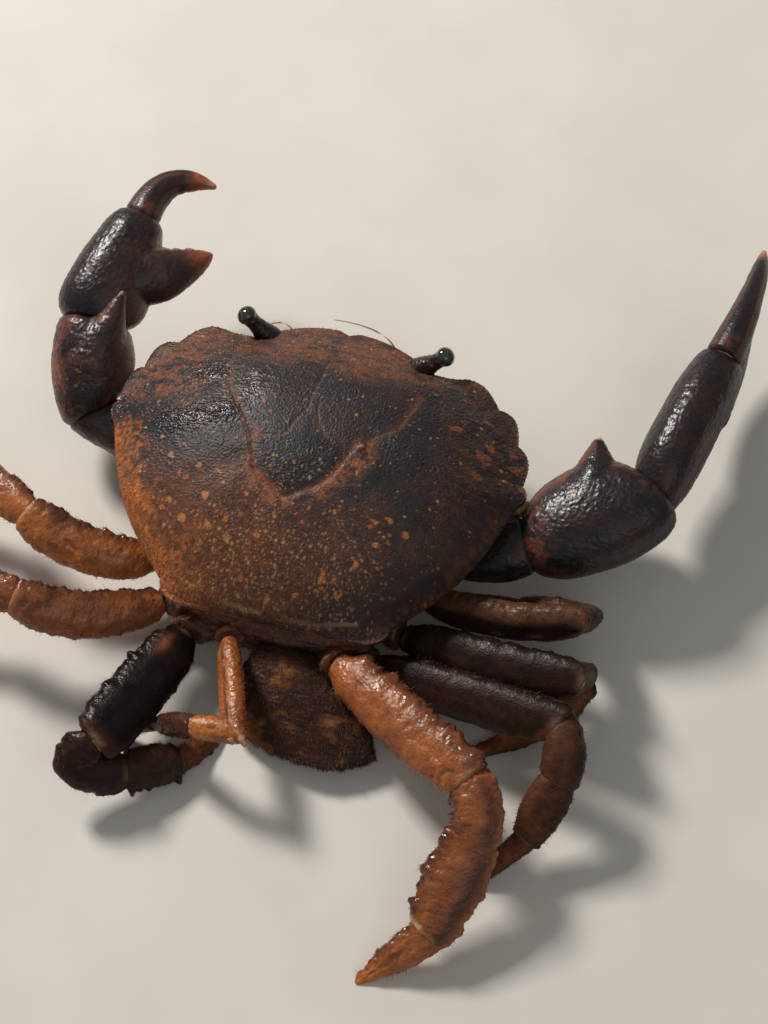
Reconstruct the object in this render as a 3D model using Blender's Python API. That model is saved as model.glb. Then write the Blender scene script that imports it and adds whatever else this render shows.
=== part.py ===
"""A life-size mud crab: it squats on its belly with its claws raised and its legs trailing back.

Lengths are in millimetres up to the one function that makes meshes, which writes metres.
+X is the crab's right, +Y is forward, +Z is up, and the origin is on the flat of the belly.
"""
import math

import bmesh
import bpy
from mathutils import Vector

# Driving dimensions
MM = 0.001
CARAPACE_WIDTH = 42.0
FRONT_Y = 18.3
REAR_Y = -13.6
DOME_Z = 18.0
SHELL_MIDDLE_Y = 0.0
FRONT_EDGE_Z = 11.0
SIDE_EDGE_Z = 10.2
REAR_EDGE_Z = 9.0
EDGE_THICKNESS = 0.9
SHELL_FLOOR_Z = 7.6
GAP = 0.3
EDGE_TURN_Y = 3.0
UP = Vector((0, 0, 1))

# The carapace's outline, right half: front, orbit, four side lobes, rear side, rear edge
FRONT_HALF_WIDTH = 7.0
FRONT_CORNER_Y = 16.8
FRONT_CURVE_POWER = 2.4
FRONT_NOTCH = 0.4
FRONT_NOTCH_HALF_WIDTH = 1.1
ORBIT_END = (12.2, 15.7)
ORBIT_DEPTH = 1.0
SIDE_LOBES = (
    ((12.2, 15.7), (16.4, 13.4), 0.85),
    ((16.5, 13.2), (19.1, 10.1), 0.9),
    ((19.1, 9.8), (20.5, 6.0), 0.8),
    ((20.4, 5.8), (20.3, 3.2), 0.7),
)
REAR_SIDE_END = (11.4, -11.6)
REAR_SIDE_BULGE = 1.3
REAR_CORNER_RADIUS = 1.6
REAR_CORNER_STEPS = 3
ARC_STEPS = 6
LOBE_SKEW = 0.8

SHELL_RINGS = (0.08, 0.2, 0.32, 0.44, 0.56, 0.67, 0.77, 0.86, 0.93, 0.975, 1.0)
SHELL_UNDER_RINGS = ((1.0, 0.0), (0.88, 0.62), (0.7, 1.0))
ROUND_REACH = (19.6, 15.6)
DOME_MIDDLE_Y = 2.4
DOME_REACH = (21.6, 16.6)
DOME_SQUARENESS = 2.3
DOME_POWER = 0.8
# How late, going outwards, the rings take up the lobed outline, the edge's height and the groove's end
OUTLINE_POWER = 5
EDGE_POWER = 7
GROOVE_END_POWER = 8

# Grooves between the carapace's regions, right half: points, depth
REGION_GROOVES = (
    (((0.2, 13.5), (0.7, 6.5), (2.6, 3.4), (5.1, 2.5)), 0.38),
    (((9.4, 10.5), (8.5, 6.9), (6.8, 4.7), (5.1, 2.5)), 0.34),
    (((5.1, 2.5), (4.5, -1.2), (1.6, -3.6), (0.0, -3.9)), 0.42),
    (((8.5, 6.9), (12.5, 6.6), (16.2, 8.4)), 0.26),
    (((4.5, -1.2), (8.2, -2.2), (11.4, -5.6)), 0.24),
    (((2.6, -4.2), (3.6, -7.6), (3.0, -11.2)), 0.28),
)
GROOVE_WIDTH = 0.95

# Walking legs: root, knee, wrist, ankle and tip, then how far the thigh and the wrist piece bow
LEG_JOINTS = {
    "right_1": (
        ((13.2, -5.6, 4.7), (28.6, -6.5, 9.0), (29.0, -3.9, 4.6), (22.4, -3.4, 2.1), (15.8, -2.6, 0)),
        (0, -1.0, 0), (0, 0, 0)),
    "right_2": (
        ((12.3, -10.0, 4.4), (29.6, -12.5, 9.1), (29.9, -10.8, 4.7), (27.1, -15.6, 2.3), (20.4, -19.2, 0)),
        (0, -0.5, 0), (0, 0, 0)),
    "right_3": (
        ((10.4, -13.6, 4.2), (29.3, -17.2, 9.0), (29.9, -22.2, 6.7), (28.1, -27.2, 3.4), (23.6, -31.8, 0)),
        (0, -0.2, 0), (0.6, 0, 0.3)),
    "right_4": (
        ((6.9, -15.0, 6.4), (22.2, -24.7, 9.4), (23.6, -29.8, 7.2), (21.4, -38.2, 3.1), (16.2, -42.8, 0)),
        (0.3, -0.5, 0.4), (0.7, 0, 0.2)),
    "left_1": (
        ((-13.2, -7.6, 4.7), (-26.0, -7.8, 9.3), (-32.4, -4.6, 7.6), (-38.6, -6.6, 3.2), (-42.6, -10.2, 0)),
        (0, -1.7, 0), (0, 0, 0.3)),
    "left_2": (
        ((-11.4, -11.9, 4.4), (-24.6, -16.7, 9.2), (-30.2, -16, 7.8), (-36, -20, 3.4), (-39, -24.6, 0)),
        (0, -1.8, 0), (0, 0, 0.3)),
    "left_3": (
        ((-8.4, -14.4, 4.0), (-13.3, -28.4, 6.5), (-9.9, -29.2, 3.2), (-5.6, -26.4, 1.8), (-2.6, -22.4, 0)),
        (0, -0.3, 0), (-2.9, -1.7, 0)),
    "left_4": (
        ((-3.8, -15.0, 6.4), (-0.3, -25.2, 8.0), (-4.6, -24.8, 7.2), (-8.4, -24.0, 3.7), (-13.8, -24.8, 0)),
        (0, 0, 0.3), (0, 0, 0)),
}
LEG_PARTS = ("merus", "carpus", "propodus", "dactyl")
LEG_GIRTH = {"merus": (1.35, 2.3), "carpus": (1.3, 2.0), "propodus": (1.2, 2.05), "dactyl": (0.85, 1.2)}
LEG_LOBES = {"merus": 7, "carpus": 3, "propodus": 4, "dactyl": 0}
LEG_LOBE_HEIGHT = 0.42
CREST_BAND = 0.85
CREST_POWER = 0.7
# Shares of a piece's half width and half height along it
LEG_PROFILE = ((0, 0.74, 0.66), (0.14, 0.9, 0.86), (0.6, 1, 1), (0.9, 0.96, 0.88), (1, 0.8, 0.7))
DACTYL_PROFILE = ((0, 1, 1), (0.5, 0.8, 0.8))
GIRTH_OF_LEG = {
    "right_1": (1.1, 0.85), "right_4": (1.15, 1.16), "left_3": (1.0, 1.2), "left_4": (0.8, 0.6),
}
# How much deeper than usual the pieces beyond the knee are
SHIN_SWELL = {
    "right_4": {"carpus": 1.0, "propodus": 1.2, "dactyl": 1.35},
    "left_3": {"carpus": 0.85, "propodus": 0.85, "dactyl": 0.9},
}
DARK_LEGS = ("right_1", "right_2", "right_3", "left_3")
# The flat of each leg turns up and back; the crest runs along its upper or outer edge
FLAT_FACES = {"right_1": (0.1, -0.9, 0.5), "left_4": (-0.5, -0.5, 0.7)}
USUAL_FLAT_FACE = (0.1, -0.5, 0.87)
TIP_RADIUS = 0.34

# Sockets on the body: radius, and how far each is sunk towards the middle
SOCKET_RADIUS = {"arm": 2.3, "leg": 1.6, "last_leg": 1.35}
SOCKET_HIGH_Z = 5.0
SOCKET_SUNK = (0.62, 0.86)
HIGH_SOCKET_SUNK = (0.94, 0.86)

# Claw arms: joints from the body out, and the direction in which the claw's moving finger lies
ARM_JOINTS = {
    "right": ((12.8, -0.4, 4.1), (22.4, 1.6, 6.4), (33.1, 8.8, 9.2), (36.9, 24.2, 10.4)),
    "left": ((-12.8, 3.4, 4.1), (-24.0, 5.6, 6.7), (-25.3, 13.6, 11.2), (-23.5, 25.0, 13.8)),
}
FINGER_SIDE = {"right": (0, 0, 1), "left": (-0.9, 0.2, 0.32)}
MOVING_FINGER = {
    "right": ((37.0, 24.1, 12.2), (38.8, 38.3, 10.0), (0.5, -0.2, 1.3)),
    "left": ((-23.3, 25.3, 14.0), (-17.0, 30.0, 14.0), (-1.4, 1.8, 0.3)),
}
FIXED_FINGER = {
    "right": ((36.4, 19.4, 7.6), (38.7, 36.9, 8.9), (0.1, 0.2, -1.5)),
    "left": ((-22.6, 18.2, 12.8), (-15.6, 23.2, 12.4), (0.3, -0.45, -0.2)),
}
WRIST_SPINE = {
    "right": ((27.6, 6.5, 8.9), (26.6, 12.7, 10.7)),
    "left": ((-24.4, 9.0, 10.0), (-22.4, 15.4, 14.9)),
}
SPINE_SIZE = {
    "right": ((0, 2.9), (0.4, 2.4), (0.68, 1.5), (0.86, 0.8), (1, 0.25)),
    "left": ((0, 3.2), (0.4, 2.3), (0.7, 1.25), (0.86, 0.75), (1, 0.25)),
}
MERUS_SIZE = {
    "right": ((0, 2.0, 1.8), (0.35, 3.1, 2.2), (0.8, 3.4, 2.5), (1, 2.7, 2.3)),
    "left": ((0, 1.9, 1.7), (0.35, 2.5, 2.1), (0.8, 2.7, 2.4), (1, 2.3, 2.2)),
}
CARPUS_SIZE = {
    "right": ((0, 2.7, 2.5), (0.16, 4.3, 3.4), (0.45, 5.3, 4.0), (0.75, 5.2, 3.9), (0.92, 4.2, 3.3),
              (1, 3.1, 2.7)),
    "left": ((0, 2.4, 2.4), (0.2, 3.5, 3.3), (0.5, 4.15, 3.8), (0.8, 3.9, 3.5), (0.93, 3.5, 3.1),
             (1, 2.9, 2.7)),
}
PALM_SIZE = {
    "right": ((0, 2.5, 2.6), (0.16, 3.0, 3.7), (0.5, 3.1, 4.3), (0.85, 2.8, 3.6), (1, 2.3, 2.9)),
    "left": ((0, 2.6, 3.4), (0.12, 3.3, 4.2), (0.38, 3.6, 4.25), (0.68, 3.2, 3.6), (0.9, 2.7, 2.8),
             (1, 2.2, 2.15)),
}
MOVING_SIZE = ((0, 1.9, 1.9), (0.25, 1.65, 1.65), (0.55, 1.2, 1.3), (0.82, 0.8, 0.9), (1, 0.26, 0.26))
FIXED_SIZE = ((0, 2.4, 2.9), (0.4, 2.1, 2.6), (0.65, 1.5, 1.75), (0.88, 0.9, 0.9), (1, 0.28, 0.28))
CLAW_SQUARENESS = 2.2
MOVING_TEETH = 0.12
FIXED_TEETH = 0.4
TEETH_ALONG_FINGER = 5
TEETH_START = 0.2
TEETH_END = 0.95
TEETH_FADE = 4

# Eyes, antennae and mouth cover plates, right side
STALK = ((7.7, 16.0, 10.5), (9.75, 16.45, 12.75))
STALK_RADIUS = 0.78
EYE_TIP = (10.75, 16.65, 13.85)
EYE_RADIUS = 0.92
EYE_SUNK = 0.6
CUTTER_PAST_STALK = 2
EYE_POLE = 0.17
STALK_WAIST = 0.1
ANTENNA = {
    "right": ((5.2, 17.6, 8.2), (-2.0, 19.6, 10.6), (1.4, 1.0, 0.2)),
    "left": ((-5.2, 17.6, 8.2), (-10.4, 21.0, 3.2), (0.2, 1.0, 0.9)),
}
ANTENNA_RADIUS = ((0, 0.62), (0.1, 0.6), (0.2, 0.34), (0.6, 0.27), (1, 0.2))
MOUTH_FOOT = (2.95, 9.9, 1.9)
MOUTH_TOP = (2.95, 14.8, 6.6)
MOUTH_HALF_WIDTH = ((0, 1.75), (0.2, 2.5), (0.56, 2.45), (0.62, 1.95), (0.9, 1.85), (1, 1.12))
MOUTH_HALF_THICKNESS = 0.55
MOUTH_CLEARANCE = 0.5
MOUTH_SQUARENESS = 3.2

# Body, from behind forwards: y, half width at the top, middle and bottom, and the bottom's height
THORAX_STATIONS = (
    (-13.6, 6.4, 6.6, 3.4, 1.4), (-11.0, 9.0, 9.6, 5.4, 0), (-6.4, 11.2, 11.9, 6.8, 0),
    (-1.3, 11.6, 12.4, 7.0, 0), (4.4, 11.0, 11.8, 6.6, 0), (8.0, 10.0, 10.4, 5.8, 0),
    (10.8, 8.8, 9.2, 5.6, 2.6), (13.8, 7.2, 7.4, 5.6, 5.4),
)
THORAX_TOP_Z = SHELL_FLOOR_Z - GAP
THORAX_MIDDLE_Z = 4.2
THORAX_LEAST_SIDE = 0.4
THORAX_CHAMFER = 0.42

# Tail flap
FLAP_PATH = ((1.6, -14.1, 4.9), (2.6, -16.9, 5.1), (4.4, -20.6, 3.7), (6.2, -24.1, 1.8))
FLAP_HALF_WIDTH = ((0, 2.6), (0.28, 4.1), (0.5, 6.3), (0.78, 7.2), (1, 6.0))
FLAP_HALF_THICKNESS = 0.75
FLAP_JOINTS = (0.0, 0.42, 0.8, 1.0)
FLAP_STEPS = {"flap_front": 6, "flap_middle": 6, "telson": 4}
FLAP_COLUMNS = 7
FLAP_SEGMENT_RISE = 0.18
FLAP_SAG = 0.15
FLAP_EDGE_THINNING = 0.45
TELSON_ROUNDNESS = 0.92

# Material name, colour and roughness
LOOKS = {
    "shell": ("carapace_shell", (0.075, 0.045, 0.04), 0.45),
    "claw": ("claw_shell", (0.06, 0.04, 0.045), 0.3),
    "finger": ("finger_shell", (0.16, 0.07, 0.05), 0.35),
    "leg": ("leg_shell", (0.32, 0.13, 0.05), 0.5),
    "leg_dark": ("leg_dark_shell", (0.14, 0.06, 0.035), 0.5),
    "belly": ("belly_shell", (0.30, 0.17, 0.09), 0.5),
    "flap": ("flap_shell", (0.16, 0.075, 0.04), 0.55),
    "eye": ("eye_surface", (0.01, 0.01, 0.012), 0.08),
}


def clear_scene():
    for thing in list(bpy.data.objects):
        bpy.data.objects.remove(thing)


def new_collection(name):
    collection = bpy.data.collections.new(name)
    bpy.context.scene.collection.children.link(collection)
    return collection


def shell_material(name, colour, roughness):
    material = bpy.data.materials.new(name)
    material.use_nodes = True
    shader = material.node_tree.nodes["Principled BSDF"]
    shader.inputs["Base Color"].default_value = (*colour, 1)
    shader.inputs["Roughness"].default_value = roughness
    shader.inputs["Metallic"].default_value = 0
    return material


def mesh_object(name, verts, faces, material, collection):
    """One mesh from points in millimetres, its faces turned outwards."""
    mesh = bpy.data.meshes.new(name)
    mesh.from_pydata([Vector(v) * MM for v in verts], [], faces)
    bm = bmesh.new()
    bm.from_mesh(mesh)
    bmesh.ops.recalc_face_normals(bm, faces=bm.faces)
    bm.to_mesh(mesh)
    bm.free()
    mesh.materials.append(material)
    mesh.shade_smooth()
    mesh.set_sharp_from_angle(angle=math.radians(50))
    thing = bpy.data.objects.new(name, mesh)
    collection.objects.link(thing)
    return thing


def ring_surface(rings, closed=True):
    """Points and faces of a surface through rings of equal count, with a fan at each end."""
    count = len(rings[0])
    verts = [point for ring in rings for point in ring]
    faces = []
    for r in range(len(rings) - 1):
        for k in range(count):
            a, b = r * count + k, r * count + (k + 1) % count
            faces.append((a, b, b + count, a + count))
    for ring_index in (0, len(rings) - 1):
        centre = sum((Vector(p) for p in rings[ring_index]), Vector()) / count
        verts.append(centre)
        for k in range(count):
            a = ring_index * count + k
            b = ring_index * count + (k + 1) % count
            faces.append((a, b, len(verts) - 1))
    return verts, faces


def along(stations, s):
    """The sizes at s, eased from one named station to the next."""
    for low, high in zip(stations, stations[1:]):
        if s <= high[0]:
            t = (s - low[0]) / (high[0] - low[0])
            t = t * t * (3 - 2 * t)
            return [a + (b - a) * t for a, b in zip(low[1:], high[1:])]
    return list(stations[-1][1:])


def limb_rings(start, end, start_plane, end_plane, size, side_up, bow=(0, 0, 0), rings=8, sides=10,
               square=2.0, crest=None, cosine_ends=True, flat_face=None):
    """Rings along a bowed axis, with each end ring slid into the plane that it shares with its neighbour.

    size(s) gives half width and half height, and crest(s, angle) gives what is added to the half height.
    The height lies along side_up, or square to flat_face where that is given.
    """
    start, end, bow, side_up = Vector(start), Vector(end), Vector(bow), Vector(side_up)
    start_plane, end_plane = Vector(start_plane), Vector(end_plane)
    result = []
    for r in range(rings):
        s = r / (rings - 1)
        if cosine_ends:
            s = 0.5 * s + 0.5 * (0.5 - 0.5 * math.cos(math.pi * s))
        centre = start.lerp(end, s) + bow * (4 * s * (1 - s))
        tangent = ((end - start) + bow * (4 * (1 - 2 * s))).normalized()
        height_way = flat_face.cross(tangent) if flat_face else side_up
        across = tangent.cross(height_way).normalized()
        upward = across.cross(tangent)
        half_width, half_height = size(s)
        ring = []
        for k in range(sides):
            angle = 2 * math.pi * k / sides + math.pi / 2
            c, n = math.cos(angle), math.sin(angle)
            reach = 1 / (abs(c) ** square + abs(n) ** square) ** (1 / square)
            offset = across * (half_width * c * reach) + upward * (half_height * n * reach)
            if crest:
                offset += upward * crest(s, angle)
            slide = 0
            if s < 0.5:
                slide -= offset.dot(start_plane) / tangent.dot(start_plane) * (1 - 2 * s)
            else:
                slide -= offset.dot(end_plane) / tangent.dot(end_plane) * (2 * s - 1)
            ring.append(centre + offset + tangent * slide)
        result.append(ring)
    return result


def join_pieces(target, pieces):
    """One Boolean union of loose pieces into the target, which is applied, with the pieces then removed."""
    group = new_collection(target.name + "_pieces")
    for piece in pieces:
        for owner in list(piece.users_collection):
            owner.objects.unlink(piece)
        group.objects.link(piece)
    union = target.modifiers.new("Union", "BOOLEAN")
    union.operation = "UNION"
    union.solver = "MANIFOLD"
    union.operand_type = "COLLECTION"
    union.collection = group
    apply_modifiers(target)
    for piece in pieces:
        bpy.data.objects.remove(piece)
    bpy.data.collections.remove(group)
    keep_largest_surface(target)


def apply_modifiers(thing):
    graph = bpy.context.evaluated_depsgraph_get()
    mesh = bpy.data.meshes.new_from_object(thing.evaluated_get(graph))
    thing.modifiers.clear()
    thing.data = mesh


def keep_largest_surface(thing):
    """Only the surface that encloses the most stays."""
    bm = bmesh.new()
    bm.from_mesh(thing.data)
    islands, seen = [], set()
    for face in bm.faces:
        if face.index in seen:
            continue
        island, stack = [], [face]
        seen.add(face.index)
        while stack:
            here = stack.pop()
            island.append(here)
            for edge in here.edges:
                for other in edge.link_faces:
                    if other.index not in seen:
                        seen.add(other.index)
                        stack.append(other)
        islands.append(island)
    islands.sort(key=len)
    loose = [face for island in islands[:-1] for face in island]
    bmesh.ops.delete(bm, geom=loose, context="FACES")
    bm.to_mesh(thing.data)
    bm.free()


def carve(target, cutter):
    """A cutter takes its shape out of the target, and stays in its own collection, unseen."""
    cutter.hide_render = True
    cutter.display_type = "WIRE"
    cut = target.modifiers.new("Cut", "BOOLEAN")
    cut.operation = "DIFFERENCE"
    cut.solver = "EXACT"
    cut.object = cutter


def arc_points(start, end, bulge, count, skew=1.0):
    """Points from start towards end, leaning out to the left of the way by bulge; the end is left out."""
    start, end = Vector(start), Vector(end)
    way = end - start
    out = Vector((-way.y, way.x)).normalized()
    points = []
    for k in range(count):
        s = k / count
        points.append(start + way * s + out * (bulge * math.sin(math.pi * s ** skew)))
    return points


def margin_right():
    """The right half of the carapace's outline, from the middle of the front to the middle of the rear."""
    points = []
    for k in range(ARC_STEPS):
        x = FRONT_HALF_WIDTH * k / ARC_STEPS
        drop = (FRONT_Y - FRONT_CORNER_Y) * (x / FRONT_HALF_WIDTH) ** FRONT_CURVE_POWER
        notch = FRONT_NOTCH * max(0, 1 - x / FRONT_NOTCH_HALF_WIDTH)
        points.append(Vector((x, FRONT_Y - drop - notch)))
    points += arc_points((FRONT_HALF_WIDTH, FRONT_CORNER_Y), ORBIT_END, -ORBIT_DEPTH, ARC_STEPS)
    for start, end, bulge in SIDE_LOBES:
        points += arc_points(start, end, bulge, ARC_STEPS, LOBE_SKEW)
    points += arc_points(SIDE_LOBES[-1][1], REAR_SIDE_END, REAR_SIDE_BULGE, ARC_STEPS + 1)
    for k in range(2 * REAR_CORNER_STEPS + 1):
        turn = math.pi / 2 * min(1, k / REAR_CORNER_STEPS)
        x = REAR_SIDE_END[0] - REAR_CORNER_RADIUS * (1 - math.cos(turn))
        x *= 1 - max(0, k - REAR_CORNER_STEPS) / REAR_CORNER_STEPS
        y = REAR_SIDE_END[1] - (REAR_SIDE_END[1] - REAR_Y) * math.sin(turn)
        points.append(Vector((x, y)))
    widen = CARAPACE_WIDTH / 2 / max(p.x for p in points)
    return [Vector((p.x * widen, p.y)) for p in points]


def whole_margin():
    """The whole outline, right half then left half."""
    right = margin_right()
    left = [Vector((-p.x, p.y)) for p in right[-2:0:-1]]
    return right + left


def edge_height(y):
    """The height of the carapace's edge, high at the front and low behind."""
    if y > EDGE_TURN_Y:
        return SIDE_EDGE_Z + (FRONT_EDGE_Z - SIDE_EDGE_Z) * (y - EDGE_TURN_Y) / (FRONT_Y - EDGE_TURN_Y)
    return SIDE_EDGE_Z + (REAR_EDGE_Z - SIDE_EDGE_Z) * (EDGE_TURN_Y - y) / (EDGE_TURN_Y - REAR_Y)


def distance_to_path(point, path):
    nearest = math.inf
    for a, b in zip(path, path[1:]):
        a, b = Vector(a), Vector(b)
        t = max(0, min(1, (point - a).dot(b - a) / (b - a).length_squared))
        nearest = min(nearest, (point - a.lerp(b, t)).length)
    return nearest


def region_relief(x, y):
    """Grooves between the regions of the carapace, alike on both sides."""
    point = Vector((abs(x), y))
    relief = 0
    for path, depth in REGION_GROOVES:
        relief = min(relief, -depth * math.exp(-(distance_to_path(point, path) / GROOVE_WIDTH) ** 2))
    return relief


def shell_height(x, y, u, edge_y):
    """The height of the shell's upper surface: a broad dome that turns down to the edge, where u is 1."""
    low = edge_height(edge_y)
    across = abs(x) / DOME_REACH[0]
    lengthways = abs(y - DOME_MIDDLE_Y) / DOME_REACH[1]
    out = (across ** DOME_SQUARENESS + lengthways ** DOME_SQUARENESS) ** (1 / DOME_SQUARENESS)
    out = min(1, out + (1 - out) * u ** EDGE_POWER)
    dome = (DOME_Z - low) * (1 - out * out) ** DOME_POWER
    return low + dome + region_relief(x, y) * (1 - u ** GROOVE_END_POWER)


def build_carapace(material, collection, cutters):
    """A dome over the lobed outline, with grooves on top and a flat floor below."""
    margin = whole_margin()
    middle = Vector((0, SHELL_MIDDLE_Y))
    rings = []
    for u in SHELL_RINGS:
        ring = []
        for outer in margin:
            way = outer - middle
            angle = math.atan2(way.y, way.x)
            round_reach = 1 / math.hypot(math.cos(angle) / ROUND_REACH[0], math.sin(angle) / ROUND_REACH[1])
            reach = round_reach + (way.length - round_reach) * u ** OUTLINE_POWER
            flat = middle + way.normalized() * (u * reach)
            ring.append(Vector((flat.x, flat.y, shell_height(flat.x, flat.y, u, outer.y))))
        rings.append(ring)
    for u, share in SHELL_UNDER_RINGS:
        ring = []
        for outer in margin:
            flat = middle.lerp(outer, u)
            under = edge_height(outer.y) - EDGE_THICKNESS
            ring.append(Vector((flat.x, flat.y, under + (SHELL_FLOOR_Z - under) * share)))
        rings.append(ring)
    verts, faces = ring_surface(rings)
    shell = mesh_object("carapace", verts, faces, material, collection)
    for sign in (1, -1):
        start, end = (Vector((sign * x, y, z)) for x, y, z in STALK)
        axis = (end - start).normalized()
        rings = limb_rings(start - axis * GAP, end + axis * CUTTER_PAST_STALK, axis, axis,
                           lambda s: (STALK_RADIUS + GAP, STALK_RADIUS + GAP), UP, rings=2, sides=10)
        verts, faces = ring_surface(rings)
        carve(shell, mesh_object("orbit_cutter", verts, faces, material, cutters))
    return shell


def build_thorax(materials, collection):
    """The body under the carapace: a flat belly, sloping sides and the sockets of all ten limbs."""
    rings = []
    for y, half_top, half_mid, half_bottom, bottom_z in THORAX_STATIONS:
        mid_z = max(THORAX_MIDDLE_Z, bottom_z + THORAX_LEAST_SIDE)
        right = [
            (half_bottom / 3, bottom_z), (half_bottom, bottom_z),
            ((half_bottom + half_mid) / 2, (bottom_z + mid_z) * THORAX_CHAMFER),
            (half_mid, mid_z), (half_top, THORAX_TOP_Z), (half_top / 2, THORAX_TOP_Z),
        ]
        section = right + [(-x, z) for x, z in reversed(right)]
        rings.append([Vector((x, y, z)) for x, z in section])
    verts, faces = ring_surface(rings)
    body = mesh_object("thorax", verts, faces, materials["belly"], collection)
    sockets = []
    for name, (joints, bow, _) in LEG_JOINTS.items():
        radius = SOCKET_RADIUS["last_leg" if name.endswith("4") else "leg"]
        sockets.append(socket(joints[0], joints[1], bow, radius, materials["belly"], collection))
    for joints in ARM_JOINTS.values():
        sockets.append(socket(joints[0], joints[1], (0, 0, 0), SOCKET_RADIUS["arm"], materials["belly"],
                              collection))
    join_pieces(body, sockets)
    return body


def socket(root, knee, bow, radius, material, collection):
    """The first joint of a limb, sunk in the body and ending in a flat that faces the limb."""
    root = Vector(root)
    way = (Vector(knee) - root + 4 * Vector(bow)).normalized()
    sunk = HIGH_SOCKET_SUNK if root.z > SOCKET_HIGH_Z else SOCKET_SUNK
    inner = Vector((root.x * sunk[0], root.y * sunk[1], min(root.z, SOCKET_HIGH_Z)))
    end = root - way * (GAP / 2)
    axis = (end - inner).normalized()
    rings = limb_rings(inner, end, axis, way, lambda s: (radius, radius), UP, rings=4, sides=8)
    verts, faces = ring_surface(rings)
    return mesh_object("socket", verts, faces, material, collection)


def lobed_crest(lobes, height, sign=1):
    """A scalloped ridge along the top (sign 1) or the bottom (sign -1) of a limb."""
    def crest(s, angle):
        if lobes == 0 or sign * math.sin(angle) < CREST_BAND:
            return 0
        return sign * height * abs(math.sin(math.pi * lobes * s)) ** CREST_POWER
    return crest


def build_leg(name, material, collection):
    """Four pieces of one walking leg, meeting in the planes that halve its bends, down to a flat tip."""
    joints, thigh_bow, wrist_bow = LEG_JOINTS[name]
    joints = [Vector(j) for j in joints]
    bows = [Vector(thigh_bow), Vector(wrist_bow), Vector((0, 0, 0)), Vector((0, 0, 0))]
    first_ways = [(b - a + 4 * bow).normalized() for a, b, bow in zip(joints, joints[1:], bows)]
    last_ways = [(b - a - 4 * bow).normalized() for a, b, bow in zip(joints, joints[1:], bows)]
    planes = [first_ways[0]] + [(a + b).normalized() for a, b in zip(last_ways, first_ways[1:])] + [-UP]
    girth = GIRTH_OF_LEG.get(name, (1, 1))
    flat_face = Vector(FLAT_FACES.get(name, USUAL_FLAT_FACE))
    if flat_face.cross(joints[1] - joints[0]).y < 0:
        flat_face = -flat_face
    for index, part in enumerate(LEG_PARTS):
        swell = SHIN_SWELL.get(name, {}).get(part, 1)
        half_width = LEG_GIRTH[part][0] * girth[0]
        half_height = LEG_GIRTH[part][1] * girth[1] * swell
        last = part == "dactyl"
        profile = DACTYL_PROFILE if last else LEG_PROFILE
        sizes = [(s, w * half_width, h * half_height) for s, w, h in profile]
        if last:
            sizes.append((1, TIP_RADIUS, TIP_RADIUS))
        start = joints[index] + planes[index] * (GAP / 2)
        end = joints[index + 1] if last else joints[index + 1] - planes[index + 1] * (GAP / 2)
        lobes = LEG_LOBES[part]
        rings = limb_rings(start, end, planes[index], planes[index + 1], lambda s: along(sizes, s), UP,
                           bow=bows[index], rings=2 * lobes + 1 if lobes else 6, sides=8,
                           crest=lobed_crest(lobes, LEG_LOBE_HEIGHT * girth[1]), cosine_ends=False,
                           flat_face=flat_face)
        verts, faces = ring_surface(rings)
        mesh_object("leg_" + name + "_" + part, verts, faces, material, collection)


def build_arm(side, materials, collection, cutters):
    """One claw arm: merus, carpus with its spine, palm with its fixed finger, and the moving finger."""
    joints = [Vector(j) for j in ARM_JOINTS[side]]
    ways = [(b - a).normalized() for a, b in zip(joints, joints[1:])]
    planes = [ways[0]] + [(a + b).normalized() for a, b in zip(ways, ways[1:])] + [ways[-1]]
    finger_side = Vector(FINGER_SIDE[side])
    shapes = (("merus", MERUS_SIZE[side], UP, 7, 12), ("carpus", CARPUS_SIZE[side], UP, 10, 14),
              ("palm", PALM_SIZE[side], finger_side, 10, 16))
    pieces = {}
    for index, (part, sizes, up, rings, sides) in enumerate(shapes):
        start = joints[index] + planes[index] * (GAP / 2)
        end = joints[index + 1] - planes[index + 1] * (GAP / 2)
        verts, faces = ring_surface(limb_rings(
            start, end, planes[index], planes[index + 1], lambda s: along(sizes, s), up, rings=rings,
            sides=sides, square=CLAW_SQUARENESS))
        pieces[part] = mesh_object("claw_" + side + "_" + part, verts, faces, materials["claw"], collection)
    foot, tip = (Vector(p) for p in WRIST_SPINE[side])
    way = (tip - foot).normalized()
    rings = limb_rings(foot, tip, way, way, lambda s: along(SPINE_SIZE[side], s) * 2, UP, rings=7, sides=10,
                       cosine_ends=False)
    verts, faces = ring_surface(rings)
    join_pieces(pieces["carpus"], [mesh_object("spine", verts, faces, materials["claw"], collection)])
    rings = limb_rings(foot, tip + way * GAP, way, way,
                       lambda s: [along(SPINE_SIZE[side], s)[0] + GAP] * 2,
                       UP, rings=7, sides=10, cosine_ends=False)
    verts, faces = ring_surface(rings)
    spine_room = mesh_object("spine_cutter_" + side, verts, faces, materials["claw"], cutters)
    fixed = build_finger("fixed", FIXED_FINGER[side], FIXED_SIZE, finger_side, 1, FIXED_TEETH,
                         materials["claw"], collection)
    join_pieces(pieces["palm"], [fixed])
    carve(pieces["palm"], spine_room)
    start, tip, bow = MOVING_FINGER[side]
    start = Vector(start) + planes[-1] * (GAP / 2)
    build_finger("claw_" + side + "_finger", (start, tip, bow), MOVING_SIZE, finger_side, -1, MOVING_TEETH,
                 materials["finger"], collection, planes[-1])


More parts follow.
